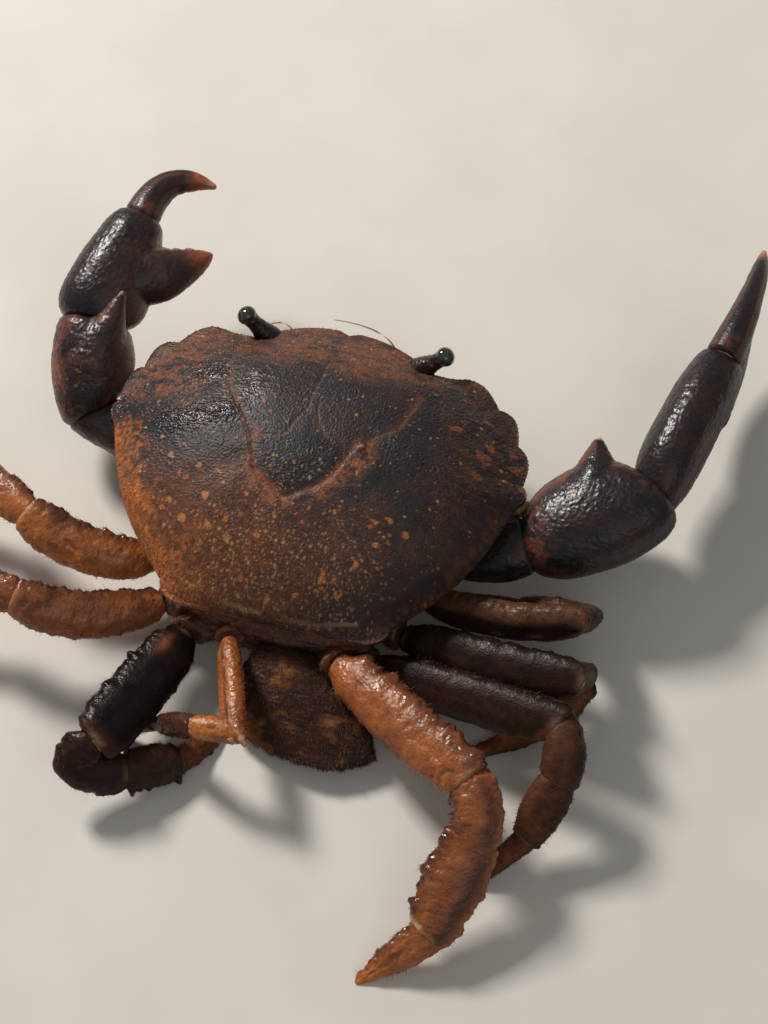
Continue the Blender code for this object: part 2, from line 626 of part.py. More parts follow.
def build_finger(name, axis, sizes, up, tooth_side, tooth_height, material, collection, start_plane=None):
    """A tapered, curved finger with blunt teeth along the side that meets the other finger."""
    start, tip, bow = (Vector(v) for v in axis)
    way = (tip - start).normalized()
    first = start_plane or (tip - start + 4 * bow).normalized()
    last = (tip - start - 4 * bow).normalized()
    lobes = lobed_crest(TEETH_ALONG_FINGER, tooth_height, tooth_side)

    def teeth(s, angle):
        if s <= TEETH_START:
            return 0
        return lobes(s, angle) * max(0, min(1, (TEETH_END - s) * TEETH_FADE))

    rings = limb_rings(start, tip, first, last, lambda s: along(sizes, s), up, bow=bow, rings=13, sides=10,
                       crest=teeth, cosine_ends=False)
    verts, faces = ring_surface(rings)
    return mesh_object(name, verts, faces, material, collection)


def build_eyes(materials, collection):
    """A short stalk in each orbit with a round eye on its end."""
    for side, sign in (("right", 1), ("left", -1)):
        start, end = (Vector((sign * x, y, z)) for x, y, z in STALK)
        tip = Vector((sign * EYE_TIP[0], EYE_TIP[1], EYE_TIP[2]))
        axis = (end - start).normalized()

        def waisted(s):
            return [STALK_RADIUS * (1 - STALK_WAIST * (1 - math.cos(2 * math.pi * s)))] * 2

        rings = limb_rings(start, end, axis, axis, waisted, UP, rings=5, sides=10)
        verts, faces = ring_surface(rings)
        mesh_object("eyestalk_" + side, verts, faces, materials["claw"], collection)
        eye_start = end + axis * GAP

        def ball(s):
            level = (1 + EYE_SUNK) * s - EYE_SUNK
            return [EYE_RADIUS * max(EYE_POLE, math.sqrt(max(0, 1 - level * level)))] * 2

        rings = limb_rings(eye_start, tip, axis, axis, ball, UP, rings=7, sides=12)
        verts, faces = ring_surface(rings)
        mesh_object("eye_" + side, verts, faces, materials["eye"], collection)


def build_antennae(material, collection):
    """A stout base under each side of the front with a thin whip that bends forward."""
    for side in ("right", "left"):
        start, tip, bow = (Vector(v) for v in ANTENNA[side])
        first = (tip - start + 4 * bow).normalized()
        last = (tip - start - 4 * bow).normalized()
        rings = limb_rings(start, tip, first, last, lambda s: along(ANTENNA_RADIUS, s) * 2, UP, bow=bow,
                           rings=12, sides=6, cosine_ends=False)
        verts, faces = ring_surface(rings)
        mesh_object("antenna_" + side, verts, faces, material, collection)


def build_mouth_plates(material, collection):
    """Two plates that cover the mouth like doors, each narrower above its joint."""
    for side, sign in (("right", 1), ("left", -1)):
        foot = Vector((sign * MOUTH_FOOT[0], MOUTH_FOOT[1], MOUTH_FOOT[2]))
        top = Vector((sign * MOUTH_TOP[0], MOUTH_TOP[1], MOUTH_TOP[2]))
        way = (top - foot).normalized()
        out = Vector((1, 0, 0)).cross(way)
        if out.y < 0:
            out = -out
        shift = out * (MOUTH_CLEARANCE + MOUTH_HALF_THICKNESS)
        foot, top = foot + shift, top + shift
        rings = limb_rings(foot, top, way, way,
                           lambda s: (along(MOUTH_HALF_WIDTH, s)[0], MOUTH_HALF_THICKNESS), out,
                           rings=11, sides=12, square=MOUTH_SQUARENESS, cosine_ends=False)
        verts, faces = ring_surface(rings)
        mesh_object("mouth_plate_" + side, verts, faces, material, collection)


def flap_centre(s):
    """A point on the tail flap's middle line, from its four named points by a cubic curve."""
    a, b, c, d = (Vector(p) for p in FLAP_PATH)
    p1 = (-5 * a + 18 * b - 9 * c + 2 * d) / 6
    p2 = (2 * a - 9 * b + 18 * c - 5 * d) / 6
    return a * (1 - s) ** 3 + p1 * (3 * s * (1 - s) ** 2) + p2 * (3 * s * s * (1 - s)) + d * s ** 3


def build_flap(materials, collection):
    """The tail flap behind the carapace, bowed across, in three pieces with a step at each segment."""
    length = (Vector(FLAP_PATH[-1]) - Vector(FLAP_PATH[0])).length
    across = Vector((1, 0, 0))
    for index, (name, steps) in enumerate(FLAP_STEPS.items()):
        s0 = FLAP_JOINTS[index] + (GAP / 2 / length if index else 0)
        s1 = FLAP_JOINTS[index + 1] - (GAP / 2 / length if name != "telson" else 0)
        rings = []
        for k in range(steps + 1):
            s = s0 + (s1 - s0) * k / steps
            centre = flap_centre(s)
            before, after = flap_centre(max(0, s - 1 / length)), flap_centre(min(1, s + 1 / length))
            upward = (after - before).cross(across).normalized()
            half = along(FLAP_HALF_WIDTH, s)[0]
            if name == "telson":
                half *= math.sqrt(1 - (k / steps) ** 2 * TELSON_ROUNDNESS)
            rise = FLAP_SEGMENT_RISE if k % 2 else 0
            top, bottom = [], []
            for c in range(FLAP_COLUMNS):
                f = 2 * c / (FLAP_COLUMNS - 1) - 1
                spine = centre + across * (half * f) - upward * (FLAP_SAG * f * f * half)
                thick = FLAP_HALF_THICKNESS * (1 - FLAP_EDGE_THINNING * f * f)
                top.append(spine + upward * (thick + rise * (1 - f * f)))
                bottom.append(spine - upward * thick)
            rings.append(top + bottom[::-1])
        verts, faces = ring_surface(rings)
        mesh_object(name, verts, faces, materials["flap"], collection)


def build_crab():
    clear_scene()
    crab = new_collection("mud_crab")
    cutters = new_collection("cutters")
    materials = {key: shell_material(*look) for key, look in LOOKS.items()}
    build_carapace(materials["shell"], crab, cutters)
    build_thorax(materials, crab)
    build_flap(materials, crab)
    build_eyes(materials, crab)
    build_antennae(materials["leg"], crab)
    build_mouth_plates(materials["belly"], crab)
    for side in ARM_JOINTS:
        build_arm(side, materials, crab, cutters)
    for name in LEG_JOINTS:
        build_leg(name, materials["leg_dark" if name in DARK_LEGS else "leg"], crab)


build_crab()
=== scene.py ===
"""The looks of a life-size mud crab, in fine shell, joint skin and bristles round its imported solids.

Lengths are in millimetres up to the function that makes a piece, which writes metres.
+X is the crab's right, +Y is forward, +Z is up, and the belly rests on the floor at the origin.
Noise, beads and specks are given by a size in millimetres and a seed, and a step by where it starts
and ends. Marks go from 0 to 1 and say how rusty, brown, dark, pale and wet a point is.
"""

import math
from itertools import product

import bpy
import numpy as np
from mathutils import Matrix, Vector


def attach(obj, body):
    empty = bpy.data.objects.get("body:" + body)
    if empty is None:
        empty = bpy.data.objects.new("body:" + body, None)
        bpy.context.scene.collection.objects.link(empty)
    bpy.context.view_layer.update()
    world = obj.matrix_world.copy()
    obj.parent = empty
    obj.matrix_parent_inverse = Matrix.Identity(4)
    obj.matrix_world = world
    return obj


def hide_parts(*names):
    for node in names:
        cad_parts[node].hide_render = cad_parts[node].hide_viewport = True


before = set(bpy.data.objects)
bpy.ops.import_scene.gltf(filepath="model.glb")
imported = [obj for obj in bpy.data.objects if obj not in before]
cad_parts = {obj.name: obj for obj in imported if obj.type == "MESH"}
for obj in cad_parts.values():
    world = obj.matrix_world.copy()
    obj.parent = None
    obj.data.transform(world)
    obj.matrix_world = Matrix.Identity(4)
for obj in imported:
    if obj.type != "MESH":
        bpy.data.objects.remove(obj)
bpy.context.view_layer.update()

MM = 0.001
UP = np.array((0.0, 0.0, 1.0))

# Camera: degrees round from straight behind, degrees above the floor, and lengths in metres
CAMERA_AZIMUTH = 13.7
CAMERA_ELEVATION = 63.35
CAMERA_TARGET = (0.00795, 0, 0.010)
CAMERA_DISTANCE = 0.230
CAMERA_LENS = 83.3

# Carapace, as the solids have it
CARAPACE_WIDTH = 42.0
FRONT_Y = 18.3
REAR_Y = -13.6
DOME_Z = 18.0
FRONT_EDGE_Z = 11.0
SIDE_EDGE_Z = 10.2
REAR_EDGE_Z = 9.0
EDGE_TURN_Y = 3.0
SHELL_FLOOR_Z = 7.6
FRONT_HALF_WIDTH = 7.0
FRONT_CORNER_Y = 16.8
FRONT_CURVE_POWER = 2.4
FRONT_NOTCH = 0.4
FRONT_NOTCH_HALF_WIDTH = 1.1
ORBIT_END = (12.2, 15.7)
ORBIT_DEPTH = 0.6
# Lobes of the front side edge: start, end and bulge
SIDE_LOBES = (
    ((12.2, 15.7), (16.4, 13.4), 0.85),
    ((16.5, 13.2), (19.1, 10.1), 0.9),
    ((19.1, 9.8), (20.5, 6.0), 0.8),
    ((20.4, 5.8), (20.3, 3.2), 0.7),
)
LOBE_SKEW = 0.8
REAR_SIDE_END = (11.4, -11.6)
REAR_SIDE_BULGE = 1.3
REAR_CORNER_RADIUS = 2.6
ROUND_REACH = (19.6, 15.6)
DOME_MIDDLE_Y = 2.4
DOME_REACH = (21.6, 16.6)
DOME_SQUARENESS = 2.3
DOME_POWER = 0.8
OUTLINE_POWER = 5
EDGE_POWER = 7
GROOVE_END_POWER = 8
SHELL_CELLS = 460
MARGIN_STEPS = 60

# Grooves between the carapace's regions: points, depth, width
NECK_GROOVES = (
    (((-9.8, 10.3), (-9.2, 7.4), (-8.1, 5.2), (-6.6, 3.5), (-5.5, 1.8)), 0.2, 0.2),
    (((9.1, 10.1), (8.5, 7.6), (7.8, 5.6), (6.1, 4.0), (4.8, 2.8)), 0.2, 0.2),
    (((-5.5, 1.8), (-4.8, -0.2), (-4.2, -1.8), (-3.0, -3.0), (-1.7, -3.6), (-0.8, -3.9)), 0.3, 0.26),
    (((4.8, 2.8), (4.0, 1.3), (3.6, 0.2), (3.0, -1.2), (2.1, -2.1), (0.4, -3.2), (-0.8, -3.9)), 0.26, 0.26),
)
HIND_NECK_GROOVES = NECK_GROOVES[2:]
OTHER_GROOVES = (
    (((0.1, 13.6), (-0.3, 12.5), (-0.6, 9.2), (-0.8, 7.6), (-0.8, 5.5)), 0.13, 0.17),
    (((-0.8, 5.5), (-1.7, 3.8), (-2.3, 2.1), (-4.6, 1.6)), 0.11, 0.15),
    (((0.0, 5.8), (0.6, 4.1), (1.5, 2.7), (2.9, 1.8), (3.7, 1.5)), 0.11, 0.15),
    (((8.5, 7.5), (12.5, 6.9), (16.2, 8.4)), 0.14, 0.5),
    (((-8.5, 7.5), (-12.5, 6.9), (-16.2, 8.4)), 0.14, 0.5),
    (((3.6, -0.6), (8.2, -2.2), (11.4, -5.6)), 0.12, 0.7),
    (((-4.6, -0.6), (-8.2, -2.2), (-11.4, -5.6)), 0.12, 0.7),
    (((1.2, -4.2), (3.0, -7.6), (3.2, -11.2)), 0.12, 0.6),
    (((-2.4, -4.2), (-3.4, -7.6), (-3.2, -11.2)), 0.12, 0.6),
)
FRONT_GROOVES = OTHER_GROOVES[:3]

# Regions of the carapace: loops and lines, and mounds given by middle and reach
LOZENGE = (
    (-4.9, 1.0), (-4.0, 1.5), (-2.0, 2.0), (-0.1, 2.6), (2.3, 2.4), (3.4, 1.7), (3.4, 0.4), (2.9, -0.7),
    (2.1, -2.1), (0.0, -3.1), (-1.1, -3.5), (-2.7, -2.7), (-4.1, -1.3),
)
FUNNEL = ((2.6, -2.6), (4.2, 0.6), (5.0, 3.2), (6.4, 3.6), (6.6, 1.4), (5.4, -1.2))
BRANCHIAL_RIDGE = ((20.2, 3.8), (16.9, 2.3), (13.6, 2.4), (10.8, 3.2), (8.4, 4.0))
BRANCHIAL_RIDGE_HEIGHT = 0.22
HEPATIC_RING = ((-14.9, 7.4), (-13.0, 7.1), (-12.1, 5.7), (-12.7, 4.3), (-13.9, 4.2))
REAR_RIDGE = ((10.2, -10.5), (12.3, -8.6), (13.9, -6.8), (16.1, -4.0))
REAR_CORNER = ((-10.3, -10.0), (2.4, 1.9))
CARDIAC_REGION = ((-0.4, -5.7), (1.2, 0.8))
WET_FRONT = ((-11.5, 8.0), (2.2, 1.6))
WET_NECK = ((-6.8, 7.0), (1.6, 2.4))
SHELL_KNOB = ((5.0, 2.5), (0.5, 0.7))
SHELL_KNOB_HEIGHT = 0.28
# Larger yellow and orange spots, most of them on the rear of the shell: place and radius
SHELL_SPOTS = (
    (-10.0, -7.2, 0.4), (-8.2, -5.0, 0.36), (7.1, -8.0, 0.42), (8.1, -4.1, 0.3), (9.4, -3.7, 0.34),
    (-11.8, -5.7, 0.4), (-5.3, -8.3, 0.38), (4.4, -9.9, 0.42), (-12.8, -1.4, 0.34), (-9.6, -2.2, 0.34),
    (-6.6, -9.4, 0.34), (8.6, -6.0, 0.36), (6.2, -10.6, 0.34), (-10.6, -3.4, 0.26), (-7.4, -7.4, 0.26),
    (5.1, 2.7, 0.32), (-14.2, 0.6, 0.24), (11.2, -4.4, 0.24), (2.2, -11.4, 0.3), (-0.6, -12.2, 0.4),
)
REAR_RIM = ((-9.0, -11.9), (-5.7, -12.9), (-2.2, -13.2), (1.6, -13.2), (4.6, -13.1), (8.4, -12.3))

# Underside of the carapace's edge, by rings. The rim's rings give a share of the outline, a drop and how
# far the beads stand out. The others give a share of the outline and a drop, where 1 is the shell's floor.
MARGIN_LENGTH = 118
BEAD_SPACING = 0.42
BEAD_HEIGHT = 0.1
RIM_DROP = 0.85
RIM_RINGS = ((1.0, 0.25, 1.0), (1.0, 0.6, 0.7), (0.99, 0.9, 0.0), (0.97, 1.0, 0.0), (0.93, 1.1, 0.0))
UNDER_DROP = 0.95
UNDER_RINGS = (
    (0.88, 0.35), (0.8, 0.75), (0.74, 1.0), (0.69, 1.25), (0.65, 1.9), (0.62, 2.8), (0.5, 3.2), (0.25, 3.2),
)

# Bristles: how many there are, how thick they are from the middle to a corner, how deep their roots are
# sunk, and how thick each is at levels from its root to its tip
RUST_FUZZ_COUNT = 2200
BROWN_FUZZ_COUNT = 4600
SHELL_FUZZ_WIDTH = 0.02
LEG_BRISTLE_COUNT = {"merus": 300, "carpus": 150, "propodus": 200, "dactyl": 130}
BRISTLE_WIDTH = 0.026
BODY_FUZZ_COUNT = 2600
ROLL_FUZZ_COUNT = 2400
ROLL_FUZZ_WIDTH = 0.024
FLAP_TOP_BRISTLES = 330
FLAP_SIDE_BRISTLES = 110
FLAP_END_BRISTLES = 320
ROOT_SUNK = 0.03
BRISTLE_LEVELS = ((0.0, 1.0), (0.45, 0.8), (0.8, 0.45), (1.0, 0.03))
LOWEST_BRISTLE_Z = 0.004
BRISTLE_UV_RADIUS = 0.0012

# Walking legs, as the solids have them: joints from the root to the tip, and the bows of the first two pieces
LEG_JOINTS = {
    "right_1": (
        ((13.2, -5.6, 4.7), (28.6, -6.5, 9.0), (29.0, -3.9, 4.6), (22.4, -3.4, 2.1), (15.8, -2.6, 0)),
        (0, -1.0, 0), (0, 0, 0)),
    "right_2": (
        ((12.3, -10.0, 4.4), (29.6, -12.5, 9.1), (29.9, -10.8, 4.7), (27.1, -15.6, 2.3), (20.4, -19.2, 0)),
        (0, -0.5, 0), (0, 0, 0)),
    "right_3": (
        ((10.4, -13.6, 4.2), (29.3, -17.2, 9.0), (29.9, -22.2, 6.7), (28.1, -27.2, 3.4), (23.6, -31.8, 0)),
        (0, -0.2, 0), (0.6, 0, 0.3)),
    "right_4": (
        ((6.9, -15.0, 6.4), (22.2, -24.7, 9.4), (23.6, -29.8, 7.2), (21.4, -38.2, 3.1), (16.2, -42.8, 0)),
        (0.3, -0.5, 0.4), (0.7, 0, 0.2)),
    "left_1": (
        ((-13.2, -7.6, 4.7), (-26.0, -7.8, 9.3), (-32.4, -4.6, 7.6), (-38.6, -6.6, 3.2), (-42.6, -10.2, 0)),
        (0, -1.7, 0), (0, 0, 0.3)),
    "left_2": (
        ((-11.4, -11.9, 4.4), (-24.6, -16.7, 9.2), (-30.2, -16, 7.8), (-36, -20, 3.4), (-39, -24.6, 0)),
        (0, -1.8, 0), (0, 0, 0.3)),
    "left_3": (
        ((-8.4, -14.4, 4.0), (-13.3, -28.4, 6.5), (-9.9, -29.2, 3.2), (-5.6, -26.4, 1.8), (-2.6, -22.4, 0)),
        (0, -0.3, 0), (-2.9, -1.7, 0)),
    "left_4": (
        ((-3.8, -15.0, 6.4), (-0.3, -25.2, 8.0), (-4.6, -24.8, 7.2), (-8.4, -24.0, 3.7), (-13.8, -24.8, 0)),
        (0, 0, 0.3), (0, 0, 0)),
}
LEG_PARTS = ("merus", "carpus", "propodus", "dactyl")
# Half width and half height
LEG_GIRTH = {"merus": (1.35, 2.3), "carpus": (1.3, 2.0), "propodus": (1.2, 2.05), "dactyl": (0.85, 1.2)}
LEG_LOBES = {"merus": 7, "carpus": 3, "propodus": 4, "dactyl": 5}
LEG_LOBE_HEIGHT = {"merus": 0.26, "carpus": 0.28, "propodus": 0.28, "dactyl": 0.1}
# How high the lobes of one leg stand beside those of the others
LOBE_SCALE = {"left_4": 0.4, "right_3": 0.5, "right_2": 0.8, "right_1": 0.8, "right_4": 1.6, "left_3": 1.6}
LEG_RINGS = {"merus": 130, "carpus": 64, "propodus": 80, "dactyl": 70}
LEG_SIDES = 56
# Shares of the half width and half height at shares of a piece's length
LEG_PROFILES = {
    "merus": ((0, 0.6, 0.5), (0.12, 0.86, 0.8), (0.35, 0.98, 0.97), (0.65, 1, 1), (0.92, 0.97, 0.9),
              (1, 0.88, 0.78)),
    "carpus": ((0, 0.72, 0.64), (0.15, 0.9, 0.86), (0.5, 1, 1), (0.9, 0.98, 0.95), (1, 0.9, 0.86)),
    "propodus": ((0, 0.84, 0.8), (0.15, 0.93, 0.92), (0.45, 1, 1), (0.8, 0.95, 0.85), (1, 0.8, 0.68)),
}
DACTYL_PROFILE = ((0, 1, 1), (0.5, 0.8, 0.8))
# Width and height of some legs beside the others, and then the height of some of their pieces
GIRTH_OF_LEG = {
    "right_1": (1.1, 0.85), "right_4": (1.15, 1.16), "left_3": (1.0, 1.2), "left_4": (0.8, 0.6),
}
SHIN_SWELL = {
    "right_4": {"carpus": 1.0, "propodus": 1.2, "dactyl": 1.35},
    "left_3": {"carpus": 0.85, "propodus": 0.85, "dactyl": 0.9},
}
# These legs take the near-black leg finish: partly their own dark colour and partly painted shade, as they
# lie away from the light
DARK_AND_SHADED_LEGS = ("right_1", "right_2", "right_3", "left_3")
# How rusty, brown and dark each piece of a leg is, from the body out
LEG_TONES = {
    "right_1": ((0.0, 0.2, 0.5), (0.1, 0.4, 0.2), (0.3, 0.3, 0), (0.6, 0.2, 0)),
    "right_2": ((0.03, 0.1, 0.5), (0.08, 0.45, 0.2), (0.75, 0.1, 0), (0.9, 0.05, 0)),
    "right_3": ((0.04, 0.08, 0.4), (0.1, 0.45, 0), (0.28, 0.15, 0.1), (0.6, 0.1, 0)),
    "right_4": ((0.3, 0.12, 0), (0.22, 0.3, 0.1), (0.22, 0.25, 0.1), (0.5, 0.1, 0)),
    "left_1": ((0.55, 0.02, 0), (0.5, 0.2, 0), (0.45, 0.1, 0), (0.6, 0.1, 0)),
    "left_2": ((0.25, 0.3, 0), (0.25, 0.3, 0.1), (0.3, 0.2, 0), (0.6, 0.1, 0)),
    "left_3": ((0.0, 0.0, 0.8), (0.05, 0.12, 0.5), (0.1, 0.15, 0.4), (0.5, 0.2, 0)),
    # The fourth left leg's propodus and dactyl are dark brown as a painted cast shadow falling across that
    # leg
    "left_4": ((0.5, 0.08, 0), (0.65, 0.05, 0), (0.02, 0.85, 0.75), (0.0, 0.8, 0.85)),
}
# The edge of each piece that carries the wet lobes, where it isn't the upper one: 1 is upper, -1 lower
LOBE_EDGES = {"right_4": (1, -1, -1, -1)}
GLOSSY_LEGS = ("right_4", "left_1", "left_2", "left_3", "left_4")
# The two legs whose flats are smoother, and the two with the darkest bristles, which carry painted shade
SMOOTH_LEGS = ("right_3", "left_4")
SMOOTH_LEG_ROUGHNESS = 0.45
DARK_LEG_ROUGHNESS = 0.7
DARKEST_LEGS = ("right_2", "left_3")
# A rusty spot near the root of the third left leg: middle and reach, along its length and up its side
LEG_SPOT = ((0.18, 0.45), (0.07, 0.25))
JOINT_SKIN_REACH = 0.7
LEG_NECK = 0.6
FLAT_FACES = {"right_1": (0.1, -0.9, 0.5), "left_4": (-0.5, -0.5, 0.7)}
USUAL_FLAT_FACE = (0.1, -0.5, 0.87)
TIP_RADIUS = 0.34
GAP = 0.3

# Claw arms, as the solids have them. Sizes give the half width and half height at shares of the length,
# and fingers go from a start to a tip with a bow.
ARM_JOINTS = {
    "right": ((12.8, -0.4, 4.1), (22.4, 1.6, 6.4), (33.1, 8.8, 9.2), (36.9, 24.2, 10.4)),
    "left": ((-12.8, 3.4, 4.1), (-24.0, 5.6, 6.7), (-25.3, 13.6, 11.2), (-23.5, 25.0, 13.8)),
}
FINGER_SIDE = {"right": (0, 0, 1), "left": (-0.9, 0.2, 0.32)}
MOVING_FINGER = {
    "right": ((37.0, 24.1, 12.2), (38.8, 38.3, 10.0), (0.5, -0.2, 1.3)),
    "left": ((-23.3, 25.3, 14.0), (-17.0, 30.0, 14.0), (-1.4, 1.8, 0.3)),
}
FIXED_FINGER = {
    "right": ((36.4, 19.4, 7.6), (38.7, 36.9, 8.9), (0.1, 0.2, -1.5)),
    "left": ((-22.6, 18.2, 12.8), (-15.6, 23.2, 12.4), (0.3, -0.45, -0.2)),
}
WRIST_SPINE = {
    "right": ((27.6, 6.5, 8.9), (26.6, 12.7, 10.7)),
    "left": ((-24.4, 9.0, 10.0), (-22.4, 15.4, 14.9)),
}
SPINE_SIZE = {
    "right": ((0, 2.9), (0.4, 2.4), (0.68, 1.5), (0.86, 0.8), (1, 0.25)),
    "left": ((0, 3.2), (0.4, 2.3), (0.7, 1.25), (0.86, 0.75), (1, 0.25)),
}
MERUS_SIZE = {
    "right": ((0, 2.0, 1.8), (0.35, 3.1, 2.2), (0.8, 3.4, 2.5), (1, 2.7, 2.3)),
    "left": ((0, 1.9, 1.7), (0.35, 2.5, 2.1), (0.8, 2.7, 2.4), (1, 2.3, 2.2)),
}
CARPUS_SIZE = {
    "right": ((0, 2.7, 2.5), (0.16, 4.3, 3.4), (0.45, 5.3, 4.0), (0.75, 5.2, 3.9), (0.92, 4.2, 3.3),
              (1, 3.1, 2.7)),
    "left": ((0, 2.4, 2.4), (0.2, 3.5, 3.3), (0.5, 4.15, 3.8), (0.8, 3.9, 3.5), (0.93, 3.5, 3.1),
             (1, 2.9, 2.7)),
}
PALM_SIZE = {
    "right": ((0, 2.5, 2.6), (0.16, 3.0, 3.7), (0.5, 3.1, 4.3), (0.85, 2.8, 3.6), (1, 2.3, 2.9)),
    "left": ((0, 2.6, 3.4), (0.12, 3.3, 4.2), (0.38, 3.6, 4.25), (0.68, 3.2, 3.6), (0.9, 2.7, 2.8),
             (1, 2.2, 2.15)),
}
MOVING_SIZE = ((0, 1.9, 1.9), (0.25, 1.65, 1.65), (0.55, 1.2, 1.3), (0.82, 0.8, 0.9), (1, 0.26, 0.26))
FIXED_SIZE = ((0, 2.4, 2.9), (0.4, 2.1, 2.6), (0.65, 1.5, 1.75), (0.88, 0.9, 0.9), (1, 0.28, 0.28))
FINGER_TEETH = 6
FIXED_TOOTH_HEIGHT = 0.45
MOVING_TOOTH_HEIGHT = 0.09
CLAW_SQUARENESS = 2.2
CLAW_VOXEL = 0.16
CLAW_SMOOTHING = 7
CLAW_JOINT_SIZES = ((1.9, 1.8), (2.1, 2.0), (1.5, 1.6))
# Where along the moving finger its rusty tip begins
RUSTY_TIP_START = {"right": 0.78, "left": 0.66}
# The way that is right in the photo's view; claw faces turned this way get painted floor reflection
VIEW_RIGHT = np.array((0.97, 0.24, 0.0))
# Folds of pale skin that show at a claw's wrist: from, to, radius
CLAW_MEMBRANES = {
    "right": (((31.2, 10.4, 9.0), (33.2, 13.6, 10.0), 1.3), ((18.0, 4.6, 6.6), (21.6, 5.2, 7.4), 1.0)),
    "left": (((-26.3, 12.8, 12.0), (-25.2, 14.6, 12.6), 0.9),),
}

# Eyes, antennae, mouth and body, as the solids have them
STALK = ((7.7, 16.0, 10.5), (9.75, 16.45, 12.75))
STALK_RADIUS = 0.78
EYE_TIP = (10.75, 16.65, 13.85)
CORNEA_RADIUS = 1.0
ANTENNA = {
    "right": ((5.2, 17.6, 8.2), (-2.0, 19.6, 10.6), (1.4, 1.0, 0.2)),
    "left": ((-5.2, 17.6, 8.2), (-10.4, 21.0, 3.2), (0.2, 1.0, 0.9)),
}
ANTENNA_RADIUS = ((0, 0.6), (0.1, 0.5), (0.15, 0.15), (0.6, 0.08), (1, 0.04))
ANTENNA_SEGMENTS = 42
ANTENNULE = ((1.6, 16.6, 8.6), (3.2, 17.7, 8.4))
ANTENNULE_RADIUS = ((0, 0.5), (0.5, 0.55), (1, 0.35))
MOUTH_FOOT = (2.95, 9.9, 1.9)
MOUTH_TOP = (2.95, 14.8, 6.6)
MOUTH_HALF_WIDTH = ((0, 1.75), (0.2, 2.5), (0.5, 2.45), (0.56, 2.3), (0.62, 1.95), (0.9, 1.85), (1, 1.12))
MOUTH_HALF_THICKNESS = 0.55
MOUTH_CLEARANCE = 0.5
# Places along the body: half width at the top, in the middle and at the bottom, and height of the bottom
THORAX_STATIONS = (
    (-13.6, 6.4, 6.6, 3.4, 1.4), (-11.0, 9.0, 9.6, 5.4, 0), (-6.4, 11.2, 11.9, 6.8, 0),
    (-1.3, 11.6, 12.4, 7.0, 0), (4.4, 11.0, 11.8, 6.6, 0), (8.0, 10.0, 10.4, 5.8, 0),
    (10.8, 8.8, 9.2, 5.6, 2.6), (13.8, 7.2, 7.4, 5.6, 5.4),
)
BODY_VOXEL = 0.2
BODY_SMOOTHING = 6
THORAX_TOP_Z = 7.3
THORAX_MIDDLE_Z = 4.2
THORAX_LEAST_SIDE = 0.4
THORAX_CHAMFER = 0.42
SOCKET_RADIUS = {"arm": 2.3, "leg": 1.6, "last_leg": 1.35}
SOCKET_HIGH_Z = 5.0
SOCKET_SUNK = (0.62, 0.86)
HIGH_SOCKET_SUNK = (0.94, 0.86)
FLAP_PATH = ((1.6, -14.1, 4.9), (2.6, -16.9, 5.1), (4.4, -20.6, 3.7), (6.2, -24.1, 1.8))
FLAP_HALF_WIDTH = ((0, 2.6), (0.28, 4.1), (0.5, 6.3), (0.78, 7.2), (1, 6.0))
FLAP_PLATES = (0.0, 0.13, 0.27, 0.41, 0.54, 0.67, 0.8, 1.0)
FLAP_NODES = ("flap_front",) * 3 + ("flap_middle",) * 3 + ("telson",)
FLAP_HALF_THICKNESS = 0.7
FLAP_SAG = 0.15
FLAP_LAP = 0.045
FLAP_COLUMNS = 150
FLAP_ROWS = 34
TELSON_ROUNDNESS = 0.92

# The fuzzy roll between the shell's rear edge and the tail flap
REAR_ROLL = ((-9.6, -11.6, 6.9), (9.8, -12.2, 6.9))
REAR_ROLL_SIZE = ((0, 0.9, 0.9), (0.12, 1.25, 1.15), (0.5, 1.5, 1.25), (0.88, 1.25, 1.15), (1, 0.9, 0.9))
REAR_ROLL_BOW = (0.0, -0.9, -0.15)
REAR_ROLL_RINGS = 150
REAR_ROLL_SIDES = 56

# Stage: half the floor's width in millimetres, and each light's place and width in metres, its power
# and its colour
FLOOR_HALF_WIDTH = 600.0
KEY_LIGHT = ((-0.30, 0.22, 0.34), 0.1, 2.5, (1, 0.96, 0.9))
FILL_LIGHT = ((0.25, -0.3, 0.45), 0.4, 0.3, (0.92, 0.96, 1))
ROOM_COLOUR = (1, 0.99, 0.97, 1)
ROOM_STRENGTH = 0.22
SENSOR_WIDTH = 36

# Ends of a limb: steps of their rounding, how full their last rings are, and the steepest joint plane
ROUNDING_STEPS = 8
END_FILL = (0.03, 0.55)
LEAST_RING = 0.3
STEEPEST_PLANE = 0.24

SIDES = (("right", 1), ("left", -1))
TURN = 2 * math.pi
PATH_POINTS = 16
NO_TRIS = np.zeros((0, 3), np.int64)


def unit(v):
    """Each vector at length 1."""
    return v / np.maximum(np.linalg.norm(v, axis=-1, keepdims=True), 1e-9)


def vector(values):
    """A point or a way as an array of numbers."""
    return np.array(values, float)


def on_side(place, sign):
    """A place of the right side, mirrored to the left where the sign is -1."""
    return np.array((sign * place[0], place[1], place[2]))


def clamp(x):
    """Values kept from 0 to 1."""
    return np.clip(x, 0.0, 1.0)


def step(x, low, high):
    """0 below low, 1 above high, eased between."""
    t = clamp((x - low) / (high - low))
    return t * t * (3 - 2 * t)


def bell(x, width):
    """1 where x is 0, falling smoothly to either side over about the width."""
    return np.exp(-(x / width) ** 2)


def mound(x, y, place):
    """1 at the middle of a place in the plane, falling smoothly over its reach."""
    (middle_x, middle_y), (reach_x, reach_y) = place
    return np.exp(-(((x - middle_x) / reach_x) ** 2 + ((y - middle_y) / reach_y) ** 2))


def hashed(cell, seed):
    """A repeatable number from 0 to 1 for each whole-numbered cell."""
    n = (cell[..., 0] * 73856093) ^ (cell[..., 1] * 19349663) ^ (cell[..., 2] * 83492791) ^ (seed * 49979687)
    n = ((n ^ (n >> 13)) * 1274126177) & 0x7FFFFFFF
    n = ((n ^ (n >> 15)) * 1911520717) & 0x7FFFFFFF
    return ((n ^ (n >> 12)) % 65536) / 65535


